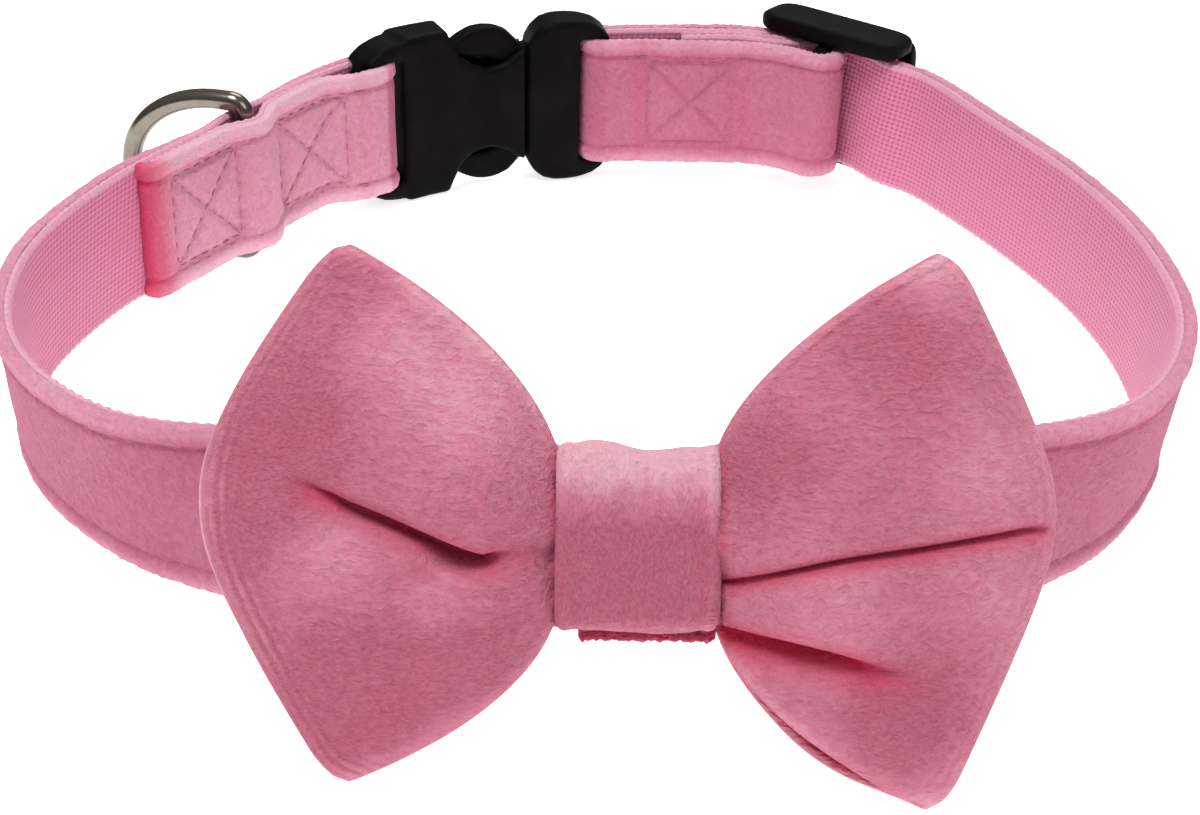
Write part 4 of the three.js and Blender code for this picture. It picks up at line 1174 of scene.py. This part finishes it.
def make_stage(stage):
    """Pale floor, three soft lights, a sky paler above and the camera at the photograph's viewing angle."""
    scene = bpy.context.scene
    mesh = bpy.data.meshes.new("floor")
    corners = [(4 * x, 4 * y, -0.0002) for x, y in ((-1, -1), (1, -1), (1, 1), (-1, 1))]
    mesh.from_pydata(corners, [], [(0, 1, 2, 3)])
    finish, tree, shader = start("floor", {
        "Roughness": 0.9, "Specular IOR Level": 0.1,
        "Emission Color": (1, 1, 1, 1), "Emission Strength": 0.75,
    })
    place_on = node(tree, "ShaderNodeTexCoord").outputs["Object"]
    colour = stage.floor_colour
    base = mixed(tree, noise(tree, place_on, 3.0), four(colour), times(colour, (0.99, 0.99, 0.99)))
    tree.links.new(base, shader.inputs["Base Color"])
    mesh.materials.append(finish)
    floor = bpy.data.objects.new("floor", mesh)
    scene.collection.objects.link(floor)

    scene.view_settings.view_transform = "Standard"
    world = bpy.data.worlds.new("studio")
    scene.world = world
    world.use_nodes = True
    tree = world.node_tree
    toward = node(tree, "ShaderNodeSeparateXYZ", {0: node(tree, "ShaderNodeTexCoord").outputs["Generated"]})
    above = shaped(tree, toward.outputs[2], -0.1, 0.75)
    sky = mixed(tree, above, (0.34, 0.335, 0.33, 1), (1.0, 0.995, 0.99, 1))
    tree.links.new(sky, tree.nodes["Background"].inputs["Color"])
    tree.nodes["Background"].inputs["Strength"].default_value = 0.35 * stage.light
    for name, spot, size, strength in LIGHTS:
        lamp = bpy.data.lights.new(name, "AREA")
        lamp.shape = "DISK"
        lamp.size = size
        lamp.energy = strength * stage.light
        ahead = -np.array(spot) / np.linalg.norm(spot)
        side = np.cross(ahead, [0, 0, 1])
        side /= np.linalg.norm(side)
        stand(bpy.data.objects.new(name, lamp), side, np.cross(side, ahead), ahead, spot)

    down, yaw, roll = np.radians(CAMERA_TURNS)
    view = np.array([math.sin(yaw) * math.cos(down), math.cos(yaw) * math.cos(down), -math.sin(down)])
    right = np.cross(view, [0, 0, 1])
    right /= np.linalg.norm(right)
    up = np.cross(right, view)
    right, up = math.cos(roll) * right + math.sin(roll) * up, -math.sin(roll) * right + math.cos(roll) * up
    spot = (np.array(CAMERA_SPOT) + [SHIFT[0], SHIFT[1], 0]) * 0.001
    lens = bpy.data.cameras.new("camera")
    lens.sensor_width = 36.0
    lens.sensor_fit = "HORIZONTAL"
    lens.lens = stage.lens
    lens.clip_start = 0.01
    camera = bpy.data.objects.new("camera", lens)
    stand(camera, right, up, view, spot)
    scene.camera = camera


# Operators

class COLLAR_OT_stage(bpy.types.Operator):
    """Add the floor, the lights and the camera."""
    bl_idname = "collar.stage"
    bl_label = "Stage"

    def execute(self, context):
        make_stage(context.scene.collar_stage)
        return {"FINISHED"}


class COLLAR_OT_webbing(bpy.types.Operator):
    """Add the woven strip of the strap."""
    bl_idname = "collar.webbing"
    bl_label = "Webbing"

    def execute(self, context):
        make_webbing(context.scene.collar_strap)
        return {"FINISHED"}


class COLLAR_OT_velvet(bpy.types.Operator):
    """Add the velvet that is sewn on the strap."""
    bl_idname = "collar.velvet"
    bl_label = "Velvet cover"

    def execute(self, context):
        make_velvet_cover(context.scene.collar_strap)
        return {"FINISHED"}


class COLLAR_OT_stitching(bpy.types.Operator):
    """Add the stitches of the hems and sewn boxes."""
    bl_idname = "collar.stitching"
    bl_label = "Stitching"

    def execute(self, context):
        make_stitching(context.scene.collar_strap)
        return {"FINISHED"}


class COLLAR_OT_bow(bpy.types.Operator):
    """Add the two wings of the bow."""
    bl_idname = "collar.bow"
    bl_label = "Bow"

    def execute(self, context):
        make_bow(context.scene.collar_strap, context.scene.collar_bow)
        return {"FINISHED"}


class COLLAR_OT_knot(bpy.types.Operator):
    """Add the knot and the loop that holds the bow on the strap."""
    bl_idname = "collar.knot"
    bl_label = "Knot and loop"

    def execute(self, context):
        make_knot(context.scene.collar_strap)
        make_loop(context.scene.collar_strap)
        return {"FINISHED"}


class COLLAR_OT_plastic(bpy.types.Operator):
    """Add the two buckle halves and the slider."""
    bl_idname = "collar.plastic"
    bl_label = "Buckle and slider"

    def execute(self, context):
        hardware = context.scene.collar_hardware
        make_slider(hardware)
        for name, node_name in (("socket_half", "buckle_female"), ("prong_half", "buckle_male")):
            moulded_copy(name, node_name, hardware.grain, hardware.rounds, plastic(hardware))
        return {"FINISHED"}


class COLLAR_OT_ring(bpy.types.Operator):
    """Add the D-ring."""
    bl_idname = "collar.ring"
    bl_label = "D-ring"

    def execute(self, context):
        make_ring(context.scene.collar_hardware)
        return {"FINISHED"}


OPERATORS = (COLLAR_OT_stage, COLLAR_OT_webbing, COLLAR_OT_velvet, COLLAR_OT_stitching, COLLAR_OT_bow,
             COLLAR_OT_knot, COLLAR_OT_plastic, COLLAR_OT_ring)
GROUPS = {"collar_strap": StrapSettings, "collar_bow": BowSettings, "collar_hardware": HardwareSettings,
          "collar_stage": StageSettings}


class COLLAR_PT_panel(bpy.types.Panel):
    """Lists the settings and the pieces."""
    bl_label = "Pet bow tie collar"
    bl_idname = "COLLAR_PT_panel"
    bl_space_type = "VIEW_3D"
    bl_region_type = "UI"
    bl_category = "Collar"

    def draw(self, context):
        for key, group in GROUPS.items():
            box = self.layout.box()
            for name in group.__annotations__:
                box.prop(getattr(context.scene, key), name)
        for operator in OPERATORS:
            self.layout.operator(operator.bl_idname)


def register():
    """Registers the settings, operators and panel."""
    for made in (*GROUPS.values(), *OPERATORS, COLLAR_PT_panel):
        bpy.utils.register_class(made)
    for key, group in GROUPS.items():
        setattr(bpy.types.Scene, key, bpy.props.PointerProperty(type=group))


def unregister():
    """Takes everything back that register added."""
    for key in GROUPS:
        delattr(bpy.types.Scene, key)
    for made in reversed((*GROUPS.values(), *OPERATORS, COLLAR_PT_panel)):
        bpy.utils.unregister_class(made)


def main():
    """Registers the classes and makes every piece."""
    register()
    for operator in OPERATORS:
        space, name = operator.bl_idname.split(".")
        getattr(getattr(bpy.ops, space), name)()


if __name__ == "__main__":
    main()
